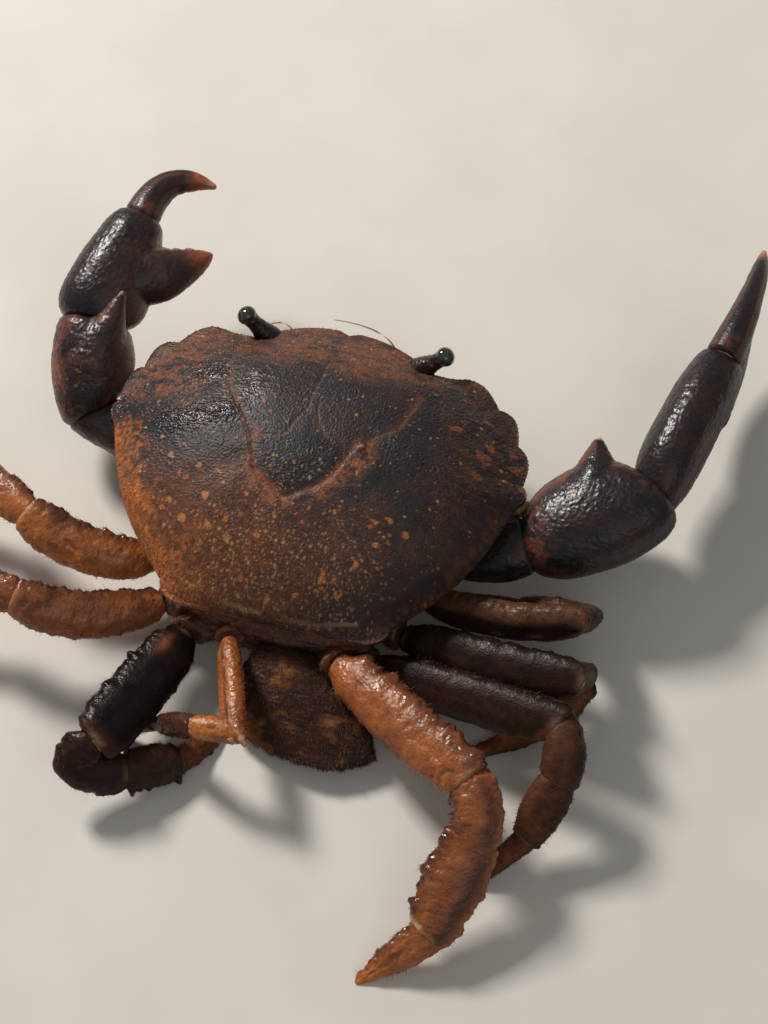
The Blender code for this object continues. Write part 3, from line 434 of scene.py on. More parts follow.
def noise(points, size, seed):
    """Smooth noise from -1 to 1 with features about size across."""
    p = points / size
    low = np.floor(p).astype(np.int64)
    t = p - low
    t = t * t * (3 - 2 * t)
    total = 0
    for corner in product((0, 1), repeat=3):
        weight = np.prod(np.where(np.array(corner), t, 1 - t), axis=-1)
        total = total + weight * hashed(low + np.array(corner), seed)
    return 2 * total - 1


def beads(points, spacing, seed, reach=0.5):
    """Rounded granules: 1 on top of each and 0 between them."""
    p = points / spacing
    low = np.floor(p).astype(np.int64)
    nearest = np.full(p.shape[:-1], 4.0)
    for offset in product((-1, 0, 1), repeat=3):
        cell = low + np.array(offset)
        middle = np.stack([cell[..., k] + 0.15 + 0.7 * hashed(cell, seed + k) for k in range(3)], -1)
        nearest = np.minimum(nearest, ((p - middle) ** 2).sum(-1))
    return clamp(1 - nearest / reach ** 2)


def along(stations, s):
    """The sizes at each s, on a smooth curve through the named stations."""
    stations = vector(stations)
    t, v = stations[:, 0], stations[:, 1:]
    slope = np.gradient(v, t, axis=0)
    i = np.clip(np.searchsorted(t, s, side="right") - 1, 0, len(t) - 2)
    h = (t[i + 1] - t[i])[:, None]
    u = clamp((s - t[i])[:, None] / h)
    return (v[i] * (1 + 2 * u) * (1 - u) ** 2 + v[i + 1] * u * u * (3 - 2 * u)
            + slope[i] * h * u * (1 - u) ** 2 + slope[i + 1] * h * u * u * (u - 1))


def lengths_along(path):
    """How far each point of a path is from its start, along the path."""
    return np.concatenate([[0], np.cumsum(np.linalg.norm(np.diff(path, axis=0), axis=1))])


def smooth_path(path):
    """More points along a path, on a smooth curve through it."""
    path = vector(path)
    far = lengths_along(path)
    return along(np.column_stack([far, path]), np.linspace(0, far[-1], PATH_POINTS))


def specks(points, spacing, seed, share, size, ragged=0.12):
    """Scattered spots of uneven size on a share of the cells: 1 within each, with a soft edge."""
    bend = np.stack([noise(points, 0.4, seed + 8), noise(points, 0.4, seed + 9), 0 * points[..., 0]], -1)
    p = points + bend * ragged
    low = np.floor(p / spacing).astype(np.int64)
    value = np.zeros(p.shape[:-1])
    for offset in product((-1, 0, 1), (-1, 0, 1), (0,)):
        cell = low + np.array(offset)
        radius = size * (0.3 + 0.7 * hashed(cell, seed + 3) ** 2)
        middle = np.stack([cell[..., k] + 0.2 + 0.6 * hashed(cell, seed + k) for k in range(2)], -1)
        far = np.linalg.norm(p[..., :2] - middle * spacing, axis=-1)
        value = np.maximum(value, step(radius - far, -0.05, 0.05) * (hashed(cell, seed + 5) < share))
    return value


def inside(points, loop, soft):
    """1 well within a closed loop in the plane and 0 outside it."""
    loop = vector(tuple(loop) + (loop[0],))
    x, y = points[..., 0], points[..., 1]
    within = np.zeros(x.shape, bool)
    for (x0, y0), (x1, y1) in zip(loop[:-1], loop[1:]):
        if y0 != y1:
            within ^= ((y0 > y) != (y1 > y)) & (x < (x1 - x0) * (y - y0) / (y1 - y0) + x0)
    far = path_distance(points, loop)
    return step(np.where(within, far, -far), -soft, soft)


def path_distance(points, path):
    """How far each point of the plane is from a path."""
    nearest = np.full(points.shape[:-1], np.inf)
    for a, b in zip(vector(path[:-1]), vector(path[1:])):
        way = b - a
        t = clamp(((points - a) @ way) / (way @ way))
        nearest = np.minimum(nearest, np.linalg.norm(points - a - t[..., None] * way, axis=-1))
    return nearest


def grid_normals(points, middle):
    """Unit normals of a grid that closes on itself along its second axis, turned away from the middle."""
    around = np.roll(points, -1, 1) - np.roll(points, 1, 1)
    lengthways = np.gradient(points, axis=0)
    normals = unit(np.cross(around, lengthways))
    outward = ((points - middle) * normals).sum(-1).mean()
    return normals if outward > 0 else -normals


def ring_faces(rings, sides):
    """Quads between rings of points, and triangles that close both ends on a middle point each."""
    k = np.arange(sides)
    row = np.arange(rings - 1)[:, None] * sides
    a, b = row + k, row + (k + 1) % sides
    quads = np.stack([a, b, b + sides, a + sides], -1).reshape(-1, 4)
    first, last = rings * sides, rings * sides + 1
    start = np.stack([(k + 1) % sides, k, np.full(sides, first)], -1)
    foot = (rings - 1) * sides
    end = np.stack([foot + k, foot + (k + 1) % sides, np.full(sides, last)], -1)
    return quads, np.concatenate([start, end])


def closed_grid(points):
    """All points of a grid with a middle point for each end, and its faces."""
    rings, sides = points.shape[:2]
    flat = np.concatenate([points.reshape(-1, 3), [points[0].mean(0)], [points[-1].mean(0)]])
    return (flat, *ring_faces(rings, sides))


def with_ends(values):
    """Values on a grid, with those of its two end points added."""
    return np.concatenate([values.reshape(-1), [values[0].mean()], [values[-1].mean()]])


def mesh_from(name, points, quads, tris):
    """A mesh of points and faces."""
    mesh = bpy.data.meshes.new(name)
    mesh.vertices.add(len(points))
    mesh.vertices.foreach_set("co", np.ascontiguousarray(points, np.float32).ravel())
    loops = np.concatenate([quads.ravel(), tris.ravel()]).astype(np.int32)
    mesh.loops.add(len(loops))
    mesh.loops.foreach_set("vertex_index", loops)
    starts = np.concatenate([np.arange(len(quads)) * 4, len(quads) * 4 + np.arange(len(tris)) * 3])
    mesh.polygons.add(len(starts))
    mesh.polygons.foreach_set("loop_start", starts.astype(np.int32))
    mesh.update(calc_edges=True)
    mesh.validate()
    return mesh


def outward(points, quads, tris):
    """The faces, turned so that they enclose a positive volume."""
    fans = np.concatenate([quads[:, [0, 1, 2]], quads[:, [0, 2, 3]], tris])
    a, b, c = (points[fans[:, k]] for k in range(3))
    if (a * np.cross(b, c)).sum() < 0:
        return quads[:, ::-1], tris[:, ::-1]
    return quads, tris


def read(items, key, kind, width=1):
    """One value of each of a mesh's items, as an array."""
    values = np.zeros(len(items) * width, kind)
    items.foreach_get(key, values)
    return values


def new_object(name, data):
    """An object in the scene."""
    thing = bpy.data.objects.new(name, data)
    bpy.context.scene.collection.objects.link(thing)
    return thing


def make_piece(name, shape, material, marks=None, nodes=()):
    """One piece of the crab from points in millimetres. Marks: rust, brown, dark, pale and often wet."""
    points, quads, tris = shape
    quads, tris = outward(points, quads, tris)
    mesh = mesh_from(name, points * MM, quads, tris)
    mesh.shade_smooth()
    mesh.materials.append(material)
    if marks is not None:
        colours = np.zeros((len(points), 4), np.float32)
        for k, values in enumerate(marks[:4]):
            colours[:, k] = clamp(values)
        if len(marks) > 4:
            wet = clamp(marks[4]).astype(np.float32)
            mesh.attributes.new("wet", "FLOAT", "POINT").data.foreach_set("value", wet)
        mesh.attributes.new("marks", "FLOAT_COLOR", "POINT").data.foreach_set("color", colours.ravel())
    piece = new_object(name, mesh)
    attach(piece, "root")
    if nodes:
        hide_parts(*nodes)
    return piece


def grid_piece(name, points, material, marks, nodes=()):
    """One piece from a closed grid of points, with its marks on the same grid."""
    make_piece(name, closed_grid(points), material, [with_ends(m) for m in marks], nodes)


def joined(shapes):
    """Several shapes as one: all points, quads and triangles."""
    count = np.cumsum([0] + [len(shape[0]) for shape in shapes])
    points = np.concatenate([shape[0] for shape in shapes])
    quads, tris = (np.concatenate([shape[k] + c for shape, c in zip(shapes, count)]) for k in (1, 2))
    return points, quads, tris


def blended(shapes, voxel, rounds):
    """One smooth skin round overlapping closed shapes: its points, faces and normals."""
    mesh = mesh_from("blend", *joined([(shape[0], *outward(*shape)) for shape in shapes]))
    thing = new_object("blend", mesh)
    remesh = thing.modifiers.new("Skin", "REMESH")
    remesh.mode = "VOXEL"
    remesh.voxel_size = voxel
    smooth = thing.modifiers.new("Smooth", "SMOOTH")
    smooth.factor = 0.5
    smooth.iterations = rounds
    graph = bpy.context.evaluated_depsgraph_get()
    skin = thing.evaluated_get(graph).to_mesh()
    co = read(skin.vertices, "co", np.float32, 3)
    normals = read(skin.vertex_normals, "vector", np.float32, 3)
    totals = read(skin.polygons, "loop_total", np.int32)
    loops = read(skin.loops, "vertex_index", np.int32)
    starts = np.cumsum(totals) - totals
    skin_quads = loops[starts[totals == 4][:, None] + np.arange(4)].astype(np.int64)
    skin_tris = loops[starts[totals == 3][:, None] + np.arange(3)].astype(np.int64)
    thing.evaluated_get(graph).to_mesh_clear()
    bpy.data.objects.remove(thing)
    bpy.data.meshes.remove(mesh)
    shape = co.reshape(-1, 3).astype(float), skin_quads, skin_tris
    return shape, normals.reshape(-1, 3).astype(float)


def limb(start, end, start_plane, end_plane, size, rings, sides, way_up=UP, bow=(0, 0, 0), flat_face=None,
         square=2.0, rounding=(0.35, 0.35), crest=None):
    """A grid of points round a bowed limb, whose rounded ends lie in the planes of its joints."""
    start, end, bow, way_up = (vector(v) for v in (start, end, bow, way_up))
    length = np.linalg.norm(end - start)
    turn = np.linspace(0, math.pi / 2, ROUNDING_STEPS)
    low, high = rounding[0] / length * (1 - np.cos(turn)), 1 - rounding[1] / length * (1 - np.cos(turn))
    middle = np.linspace(low[-1], high[-1], rings)[1:-1]
    s = np.concatenate([[0, 0], low, middle, high[::-1], [1, 1]])
    inset = np.concatenate([[1, 1], 1 - np.sin(turn), middle * 0, (1 - np.sin(turn))[::-1], [1, 1]])
    inset *= np.where(s < 0.5, rounding[0], rounding[1])
    fill = np.ones(len(s))
    fill[[0, 1, -2, -1]] = *END_FILL, *END_FILL[::-1]
    column = s[:, None]
    centre = start + (end - start) * column + bow * (4 * column * (1 - column))
    tangent = unit((end - start) + bow * (4 * (1 - 2 * column)))
    height_way = np.cross(flat_face, tangent) if flat_face is not None else way_up
    across = unit(np.cross(tangent, height_way))
    upward = np.cross(across, tangent)
    sizes = size(s)
    half = [np.maximum(sizes[:, k] - inset, LEAST_RING * sizes[:, k]) * fill for k in (0, -1)]
    angle = np.arange(sides) / sides * TURN + math.pi / 2
    c, n = np.cos(angle), np.sin(angle)
    reach = 1 / (np.abs(c) ** square + np.abs(n) ** square) ** (1 / square)
    offset = (across[:, None] * (half[0][:, None] * c * reach)[..., None]
              + upward[:, None] * (half[1][:, None] * n * reach)[..., None])
    if crest is not None:
        rise = crest(s[:, None], n[None, :]) * (1 - inset[:, None] / max(rounding)) * (fill == 1)[:, None]
        offset = offset + upward[:, None] * rise[..., None]
    start_plane, end_plane = vector(start_plane), vector(end_plane)
    first = (offset @ start_plane) / np.maximum(tangent @ start_plane, STEEPEST_PLANE)[:, None]
    last = (offset @ end_plane) / np.maximum(tangent @ end_plane, STEEPEST_PLANE)[:, None]
    first = first * np.maximum(0, 1 - 2 * column) ** 1.5
    last = last * np.maximum(0, 2 * column - 1) ** 1.5
    points = centre[:, None] + offset - tangent[:, None] * (first + last)[..., None]
    return {"points": points, "s": np.repeat(column, sides, 1), "up": np.repeat(n[None], len(s), 0),
            "side": np.repeat(c[None], len(s), 0), "centre": centre[:, None], "ends": inset[:, None],
            "tangent": tangent}


def skin_of(grid):
    """The points of a limb's grid and the unit normals there."""
    return grid["points"], grid_normals(grid["points"], grid["centre"])


# Materials


def link(tree, source, target):
    """Joins two sockets of a shader tree."""
    tree.links.new(source, target)


def feed(tree, value, target):
    """Gives a socket a value, or links it to another socket."""
    if hasattr(value, "node"):
        link(tree, value, target)
    else:
        target.default_value = value


def node(tree, kind, **values):
    """A shader node with its properties and named inputs set."""
    made = tree.nodes.new(kind)
    for key, value in values.items():
        if key in made.inputs:
            feed(tree, value, made.inputs[key])
        else:
            setattr(made, key, value)
    return made


def mix(tree, factor, a, b):
    """A blend of two colours, each a colour or a socket."""
    made = node(tree, "ShaderNodeMix", data_type="RGBA")
    for index, value in ((0, factor), (6, a), (7, b)):
        if hasattr(value, "node"):
            link(tree, value, made.inputs[index])
        else:
            made.inputs[index].default_value = (*value, 1) if index else value
    return made.outputs[2]


def calc(tree, operation, a, b, clamped=False):
    """One arithmetic step on numbers or sockets."""
    made = node(tree, "ShaderNodeMath", operation=operation, use_clamp=clamped)
    for index, value in enumerate((a, b)):
        feed(tree, value, made.inputs[index])
    return made.outputs[0]


def spread(tree, value, low, high, new_low=0.0, new_high=1.0):
    """A value eased from one range to another."""
    made = node(tree, "ShaderNodeMapRange", interpolation_type="SMOOTHSTEP")
    for index, number in enumerate((value, low, high, new_low, new_high)):
        feed(tree, number, made.inputs[index])
    return made.outputs[0]


def noise_of(tree, place, scale, detail, roughness=0.55):
    """A noise that varies with the place, from 0 to 1."""
    made = node(tree, "ShaderNodeTexNoise", Scale=scale, Detail=detail, Roughness=roughness)
    link(tree, place, made.inputs["Vector"])
    return made.outputs[0]


def new_material(name):
    """A material with its shader tree, its main shader and the place of each point on the object."""
    material = bpy.data.materials.new(name)
    material.use_nodes = True
    tree = material.node_tree
    place = node(tree, "ShaderNodeTexCoord").outputs["Object"]
    return material, tree, tree.nodes["Principled BSDF"], place


def set_inputs(shader, values):
    """Sets constants on the named sockets of a shader."""
    for key, value in values.items():
        shader.inputs[key].default_value = value


def shell_material(name, base, second, rust, brown, dark, pale, rough, grain, grain_depth, coat=0.0,
                   gleam=0.5):
    """Shell whose marks say where it is rusty, brown, dark, pale or wet. Grain is in millimetres."""
    material, tree, shader, place = new_material(name)
    marks = node(tree, "ShaderNodeAttribute", attribute_name="marks")
    parts = node(tree, "ShaderNodeSeparateColor")
    link(tree, marks.outputs["Color"], parts.inputs[0])
    broad = noise_of(tree, place, 260, 4)
    fine = noise_of(tree, place, 1500, 5, 0.65)
    tiny = noise_of(tree, place, 5200, 3, 0.6)
    colour = mix(tree, spread(tree, broad, 0.38, 0.62), base, second)
    brown_part = calc(tree, "MULTIPLY", parts.outputs[1], spread(tree, fine, 0.3, 0.6, 0.7, 1.1), True)
    colour = mix(tree, brown_part, colour, brown)
    dark_part = calc(tree, "MULTIPLY", parts.outputs[2], spread(tree, fine, 0.2, 0.5, 0.6, 1), True)
    colour = mix(tree, dark_part, colour, dark)
    rust_part = calc(tree, "MULTIPLY", parts.outputs[0], spread(tree, fine, 0.34, 0.6, 0.75, 1.1), True)
    colour = mix(tree, rust_part, colour, rust)
    colour = mix(tree, marks.outputs["Alpha"], colour, pale)
    shade = calc(tree, "MULTIPLY", spread(tree, tiny, 0.32, 0.68, 0.84, 1.16),
                 spread(tree, fine, 0.3, 0.7, 0.9, 1.1))
    bright = node(tree, "ShaderNodeVectorMath", operation="SCALE")
    link(tree, colour, bright.inputs[0])
    link(tree, shade, bright.inputs["Scale"])
    link(tree, bright.outputs[0], shader.inputs["Base Color"])
    rough_base = spread(tree, fine, 0.3, 0.7, *rough)
    rough_rust = calc(tree, "ADD", rough_base, calc(tree, "MULTIPLY", parts.outputs[0], 0.15))
    wet = calc(tree, "MULTIPLY", node(tree, "ShaderNodeAttribute", attribute_name="wet").outputs["Fac"], 0.3)
    link(tree, calc(tree, "SUBTRACT", rough_rust, wet, True), shader.inputs["Roughness"])
    grains = node(tree, "ShaderNodeTexVoronoi", feature="SMOOTH_F1", Scale=1 / (grain * MM), Smoothness=0.6)
    link(tree, place, grains.inputs["Vector"])
    first = node(tree, "ShaderNodeBump", Strength=0.8, Distance=grain_depth * MM, invert=True)
    link(tree, grains.outputs["Distance"], first.inputs["Height"])
    second_bump = node(tree, "ShaderNodeBump", Strength=0.6, Distance=0.014 * MM)
    link(tree, tiny, second_bump.inputs["Height"])
    link(tree, first.outputs[0], second_bump.inputs["Normal"])
    link(tree, second_bump.outputs[0], shader.inputs["Normal"])
    set_inputs(shader, {"Specular IOR Level": gleam, "Coat Weight": coat, "Coat Roughness": 0.1, "IOR": 1.45})
    return material


def plain_material(name, colour, second, rough, coat=0.0, grain=1200):
    """A simple mottled surface."""
    material, tree, shader, place = new_material(name)
    cloud = noise_of(tree, place, grain, 4)
    link(tree, mix(tree, spread(tree, cloud, 0.35, 0.65), colour, second), shader.inputs["Base Color"])
    set_inputs(shader, {"Roughness": rough, "Coat Weight": coat, "Coat Roughness": 0.05})
    bump = node(tree, "ShaderNodeBump", Strength=0.3, Distance=0.02 * MM)
    link(tree, cloud, bump.inputs["Height"])
    link(tree, bump.outputs[0], shader.inputs["Normal"])
    return material


def make_materials():
    """All finishes. A shell's colours are its base, a second one in clouds, and those of its marks."""
    return {
        "shell": shell_material(
            "carapace_finish", base=(0.02, 0.0165, 0.021), second=(0.03, 0.018, 0.017),
            rust=(0.52, 0.15, 0.036), brown=(0.15, 0.055, 0.025), dark=(0.009, 0.0085, 0.013),
            pale=(0.6, 0.38, 0.17), rough=(0.44, 0.58), grain=0.2, grain_depth=0.05, gleam=0.42),
        "claw": shell_material(
            "claw_finish", base=(0.017, 0.011, 0.016), second=(0.022, 0.011, 0.011),
            rust=(0.3, 0.075, 0.03), brown=(0.062, 0.03, 0.02), dark=(0.008, 0.008, 0.013),
            pale=(0.7, 0.42, 0.3), rough=(0.28, 0.4), grain=0.26, grain_depth=0.025, coat=0.08, gleam=0.42),
        "leg": shell_material(
            "leg_finish", base=(0.27, 0.072, 0.021), second=(0.17, 0.044, 0.016),
            rust=(0.5, 0.16, 0.038), brown=(0.075, 0.025, 0.014), dark=(0.028, 0.011, 0.011),
            pale=(0.66, 0.45, 0.26), rough=(0.4, 0.52), grain=0.3, grain_depth=0.06),
        # Near-black copy of the leg finish for the legs that lie in shade: partly their own colour, partly
        # painted shade
        "leg_dark": shell_material(
            "dark_and_shaded_leg_finish", base=(0.013, 0.0055, 0.005), second=(0.024, 0.008, 0.006),
            rust=(0.2, 0.06, 0.02), brown=(0.11, 0.046, 0.02), dark=(0.006, 0.004, 0.0045),
            pale=(0.5, 0.36, 0.24), rough=(0.45, 0.6), grain=0.22, grain_depth=0.04, gleam=0.2),
        "body": shell_material(
            "belly_finish", base=(0.2, 0.09, 0.045), second=(0.1, 0.04, 0.025),
            rust=(0.2, 0.06, 0.024), brown=(0.06, 0.024, 0.014), dark=(0.02, 0.01, 0.009),
            pale=(0.62, 0.42, 0.32), rough=(0.3, 0.55), grain=0.35, grain_depth=0.05),
        "flap": shell_material(
            "flap_finish", base=(0.018, 0.006, 0.0045), second=(0.034, 0.011, 0.006),
            rust=(0.18, 0.065, 0.02), brown=(0.05, 0.02, 0.01), dark=(0.007, 0.0045, 0.004),
            pale=(0.4, 0.24, 0.11), rough=(0.42, 0.6), grain=0.28, grain_depth=0.07, gleam=0.22),
        "joint": plain_material("joint_skin_finish", (0.5, 0.3, 0.17), (0.3, 0.12, 0.06), 0.4),
        "eye": plain_material(
            "eye_finish", (0.01, 0.01, 0.009), (0.04, 0.04, 0.03), 0.06, coat=1.0, grain=2200),
        "feeler": plain_material("feeler_finish", (0.3, 0.16, 0.07), (0.42, 0.25, 0.12), 0.5),
        "bristle": plain_material("bristle_finish", (0.2, 0.07, 0.024), (0.36, 0.15, 0.05), 0.6, grain=700),
        "brown_bristle": plain_material(
            "brown_bristle_finish", (0.07, 0.03, 0.016), (0.16, 0.075, 0.036), 0.6, grain=700),
        "dark_bristle": plain_material(
            "dark_bristle_finish", (0.022, 0.011, 0.008), (0.09, 0.042, 0.023), 0.5, grain=700),
    }


# Bristles


def bristles(name, roots, ways, lengths, width, places, material, rng):
    """Curved, pointed bristles in one mesh. Places are where each root lies on its skin, from 0 to 1."""
    count = len(roots)
    levels = len(BRISTLE_LEVELS)
    side = unit(np.cross(ways, rng.normal(size=(count, 3))))
    other = np.cross(ways, side)
    curl = side * rng.uniform(0.05, 0.35, (count, 1))
    points = np.zeros((count, levels, 3, 3))
    uv = np.zeros((count, levels, 3, 2))
    for k, (level, girth) in enumerate(BRISTLE_LEVELS):
        centre = roots + lengths[:, None] * (ways * level + curl * level ** 2)
        for j, a in enumerate(np.arange(3) * TURN / 3):
            points[:, k, j] = centre + (side * math.cos(a) + other * math.sin(a)) * (width * girth)
            points[:, k, j, 2] = np.maximum(points[:, k, j, 2], LOWEST_BRISTLE_Z)
            off = np.array((BRISTLE_UV_RADIUS * math.cos(a), BRISTLE_UV_RADIUS * math.sin(a)))
            uv[:, k, j] = places + off * (1 - 0.6 * level)
    per = levels * 3
    k, j = np.arange(levels - 1)[:, None] * 3, np.arange(3)
    a, b = k + j, k + (j + 1) % 3
    quads = np.stack([a, b, b + 3, a + 3], -1).reshape(-1, 4)
    caps = np.array([(2, 1, 0), (per - 3, per - 2, per - 1)])
    base = np.arange(count)[:, None, None] * per
    all_quads, all_tris = (quads + base).reshape(-1, 4), (caps + base).reshape(-1, 3)
    piece = make_piece(name, (points.reshape(-1, 3), all_quads, all_tris), material)
    mesh = piece.data
    loops = read(mesh.loops, "vertex_index", np.int32)
    layer = mesh.uv_layers.new(name="OFBake")
    layer.data.foreach_set("uv", uv.reshape(-1, 2)[loops].astype(np.float32).ravel())
    return piece


# Carapace


def arc(start, end, bulge, count, skew=1.0):
    """Points from start up to but not at the end, on a curve that bulges to one side."""
    start, end = vector(start), vector(end)
    way = end - start
    out = unit(np.array((-way[1], way[0])))
    s = np.arange(count)[:, None] / count
    return start + way * s + out * (bulge * np.sin(math.pi * s ** skew))


def margin():
    """The carapace's outline as a closed run of points, from the middle of the right side by the front."""
    n = MARGIN_STEPS
    x = FRONT_HALF_WIDTH * np.arange(n) / n
    drop = (FRONT_Y - FRONT_CORNER_Y) * (x / FRONT_HALF_WIDTH) ** FRONT_CURVE_POWER
    notch = FRONT_NOTCH * np.maximum(0, 1 - x / FRONT_NOTCH_HALF_WIDTH)
    right = [np.stack([x, FRONT_Y - drop - notch], -1)]
    right.append(arc((FRONT_HALF_WIDTH, FRONT_CORNER_Y), ORBIT_END, -ORBIT_DEPTH, n))
    for start, end, bulge in SIDE_LOBES:
        right.append(arc(start, end, bulge, n, LOBE_SKEW))
    right.append(arc(SIDE_LOBES[-1][1], REAR_SIDE_END, REAR_SIDE_BULGE, 2 * n))
    turn = np.linspace(0, math.pi / 2, n // 3)
    right.append(np.stack([REAR_SIDE_END[0] - REAR_CORNER_RADIUS * (1 - np.cos(turn)),
                           REAR_SIDE_END[1] - (REAR_SIDE_END[1] - REAR_Y) * np.sin(turn)], -1))
    right.append(np.array([(x, REAR_Y) for x in np.linspace(right[-1][-1][0], 0, n)[1:]]))
    right = np.concatenate(right)
    right[:, 0] *= CARAPACE_WIDTH / 2 / right[:, 0].max()
    left = right[-2:0:-1] * (-1, 1)
    ring = np.concatenate([right, left])[::-1]
    begin = np.argmin(np.where(ring[:, 0] > 0, np.abs(np.arctan2(ring[:, 1], ring[:, 0])), 9))
    ring = np.roll(ring, -begin, 0)
    return np.concatenate([ring, ring[:1]])


def around(ring, t):
    """The outline's point at each share t of its length."""
    far = lengths_along(ring)
    far /= far[-1]
    return np.stack([np.interp(t, far, ring[:, k]) for k in (0, 1)], -1)


def edge_height(y):
    """How high the shell's edge lies, from its place along the crab."""
    front = SIDE_EDGE_Z + (FRONT_EDGE_Z - SIDE_EDGE_Z) * (y - EDGE_TURN_Y) / (FRONT_Y - EDGE_TURN_Y)
    rear = SIDE_EDGE_Z + (REAR_EDGE_Z - SIDE_EDGE_Z) * (EDGE_TURN_Y - y) / (EDGE_TURN_Y - REAR_Y)
    return np.where(y > EDGE_TURN_Y, front, rear)


def groove_distance(flat, grooves):
    """How far each point is from the nearest of some grooves."""
    return np.minimum.reduce([path_distance(flat, smooth_path(path)) for path, _, _ in grooves])


def shell_marks(flat, u):
    """Where the shell is rusty, brown, near black, pale and wet by its regions, with painted shade on its
    right rear. U is 1 at its edge.
    """
    x, y = flat[..., 0], flat[..., 1]
    deep = np.stack([x, y, 0 * x], -1)
    cloud = 0.6 * noise(deep, 2.6, 3) + 0.4 * noise(deep, 0.9, 4)
    grit = noise(deep, 0.34, 6)
    patchy = step(0.5 * cloud + 0.5 * grit, -0.35, 0.25)
    streaks = step(noise(deep * (0.7, 1.3, 1), 0.6, 5) + 0.6 * cloud + 0.5 * grit, -0.85, 0.85)
    neck = groove_distance(flat, NECK_GROOVES)
    lozenge = inside(flat, LOZENGE, 0.35)
    behind = bell(groove_distance(flat, HIND_NECK_GROOVES) - 0.35, 0.8 + 0.4 * cloud)
    behind = behind * (1 - lozenge) * step(-y, -3.4, 0.4)
    funnel = inside(flat, FUNNEL, 0.6)
    front = step(y + 0.9 * cloud - 0.16 * np.maximum(x, 0) - 0.012 * x * x, 8.6, 11.8)
    left = step(-x, -4, 7)
    narrow = 0.09 * step(y, -6, 3)
    edge_left = step(u + 0.08 * cloud + 0.05 * grit - narrow, 0.76, 0.95)
    edge_left = edge_left * step(-y, -4.4, -1.6) * step(-x, 4, 10)
    # The right edge's rusty band is kept faint because that side lies away from the light: painted shade
    edge_right = 0.12 * step(u + 0.05 * cloud, 0.9, 0.97) * step(-y, -3, 1) * step(x, 4, 10)
    rear_corner = mound(x, y, REAR_CORNER)
    side_front = step(-x, 10.5, 13.5) * step(y, 4.5, 6.5) * step(14.5 - y, 0, 3)
    ring = bell(path_distance(flat, smooth_path(HEPATIC_RING)), 0.4) * patchy
    tan = specks(deep * (0.6, 1.0, 1), 1.5, 47, 0.5, 0.62, 0.3) * step(x, 10, 12.5) * step(y, 1.5, 3.5)
    crowd = 0.02 + 0.5 * step(-y, 1, 7) * (0.3 + 0.7 * left)
    orange = specks(deep, 1.0, 31, crowd, 0.26, 0.14)
    orange = np.maximum(orange, specks(deep, 0.55, 33, 0.7 * crowd, 0.15, 0.08))
    spots = np.zeros(x.shape)
    for spot_x, spot_y, radius in SHELL_SPOTS:
        far = np.hypot(x - spot_x + 0.2 * grit, y - spot_y + 0.26 * cloud)
        spots = np.maximum(spots, step(0.72 * radius + 0.18 * grit - far, -0.14, 0.1))
    rust = np.maximum.reduce([
        edge_left * (0.55 + 0.45 * patchy), edge_right * patchy, 0.25 * behind * patchy,
        0.22 * funnel * patchy, 0.6 * rear_corner * patchy, 0.2 * side_front * streaks,
        0.25 * ring, 0.1 * front * streaks, 0.2 * tan, 0.62 * orange, 0.6 * spots,
        0.05 * bell(neck, 0.3)])
    rear = step(-y + 1.5 * cloud - 0.06 * x, -0.3, 7.0) * (1 + 0.35 * step(-y, 6, 11))
    brown = np.maximum.reduce([
        # The drop in brown toward the right rear is painted shade
        rear * (0.36 + 0.26 * left + 0.26 * patchy - 0.12 * step(x, 4, 14)),
        0.85 * behind * (0.35 + 0.65 * patchy), 0.55 * funnel * (0.4 + 0.6 * patchy),
        0.75 * front * (0.25 + 0.75 * streaks), 0.5 * side_front * streaks, 0.8 * rear_corner,
        0.36 * step(x, 9, 15) * (0.2 + 0.8 * streaks), 0.5 * tan,
        0.42 * bell(neck, 0.5) * (0.4 + 0.6 * patchy),
        0.3 * bell(groove_distance(flat, FRONT_GROOVES), 0.3) * patchy])
    crest = bell(path_distance(np.stack([np.abs(x), y], -1), BRANCHIAL_RIDGE), 1.5) * step(-x, -2, 6)
    pits = specks(deep, 0.6, 91, 0.3 * step(-y, 1, 6), 0.14, 0.25)
    line = bell(neck, 0.14) * step(cloud, -0.5, 0.3)
    # Painted shade: the right rear of the shell, toward its edge, is darkened and its brown dulled because it
    # lies away from the light
    shade = step(u + 0.05 * cloud, 0.55, 0.95) * step(x, 1, 7) * step(-y, 3, 8)
    dark = np.maximum.reduce([
        0.75 * lozenge * (1 - 0.4 * behind), 0.6 * mound(x, y, CARDIAC_REGION), 0.3 * line, 0.6 * pits,
        0.6 * shade, 0.25 * step(x, 12, 17) * (1 - streaks)]) * (1 - rust)
    brown = brown * (1 - 0.5 * shade)
    crowd = (0.05 + 0.6 * step(-y, 2.5, 8.5) * step(10.5 - np.abs(x - 0.5), 0, 5)
             + 0.3 * lozenge * step(1.2 - y, 0, 1.5))
    cream = specks(deep, 0.5, 51, crowd, 0.16, 0.08)
    cream = np.maximum(cream, 0.8 * specks(deep, 0.32, 61, 0.8 * crowd, 0.1, 0.03))
    rim = bell(path_distance(flat, REAR_RIM), 0.17 + 0.08 * grit)
    rim = rim * step(noise(deep * (0.4, 1, 1), 0.8, 12), -0.5, 0.1)
    rim = rim * (0.3 + 0.55 * step(1.2 - np.abs(x + 2.2) / 2.2, 0, 1))
    pale = np.maximum.reduce([0.6 * cream * (0.7 + 0.3 * grit), rim * step(-y, 11, 12.5), 0.22 * spots])
    wet = np.maximum.reduce([
        crest * (0.6 + 0.4 * step(grit, -0.5, 0.2)), mound(x, y, WET_FRONT), 0.8 * mound(x, y, WET_NECK),
        0.5 * edge_left * step(grit, -0.2, 0.4)])
    return rust, brown, dark, pale, wet


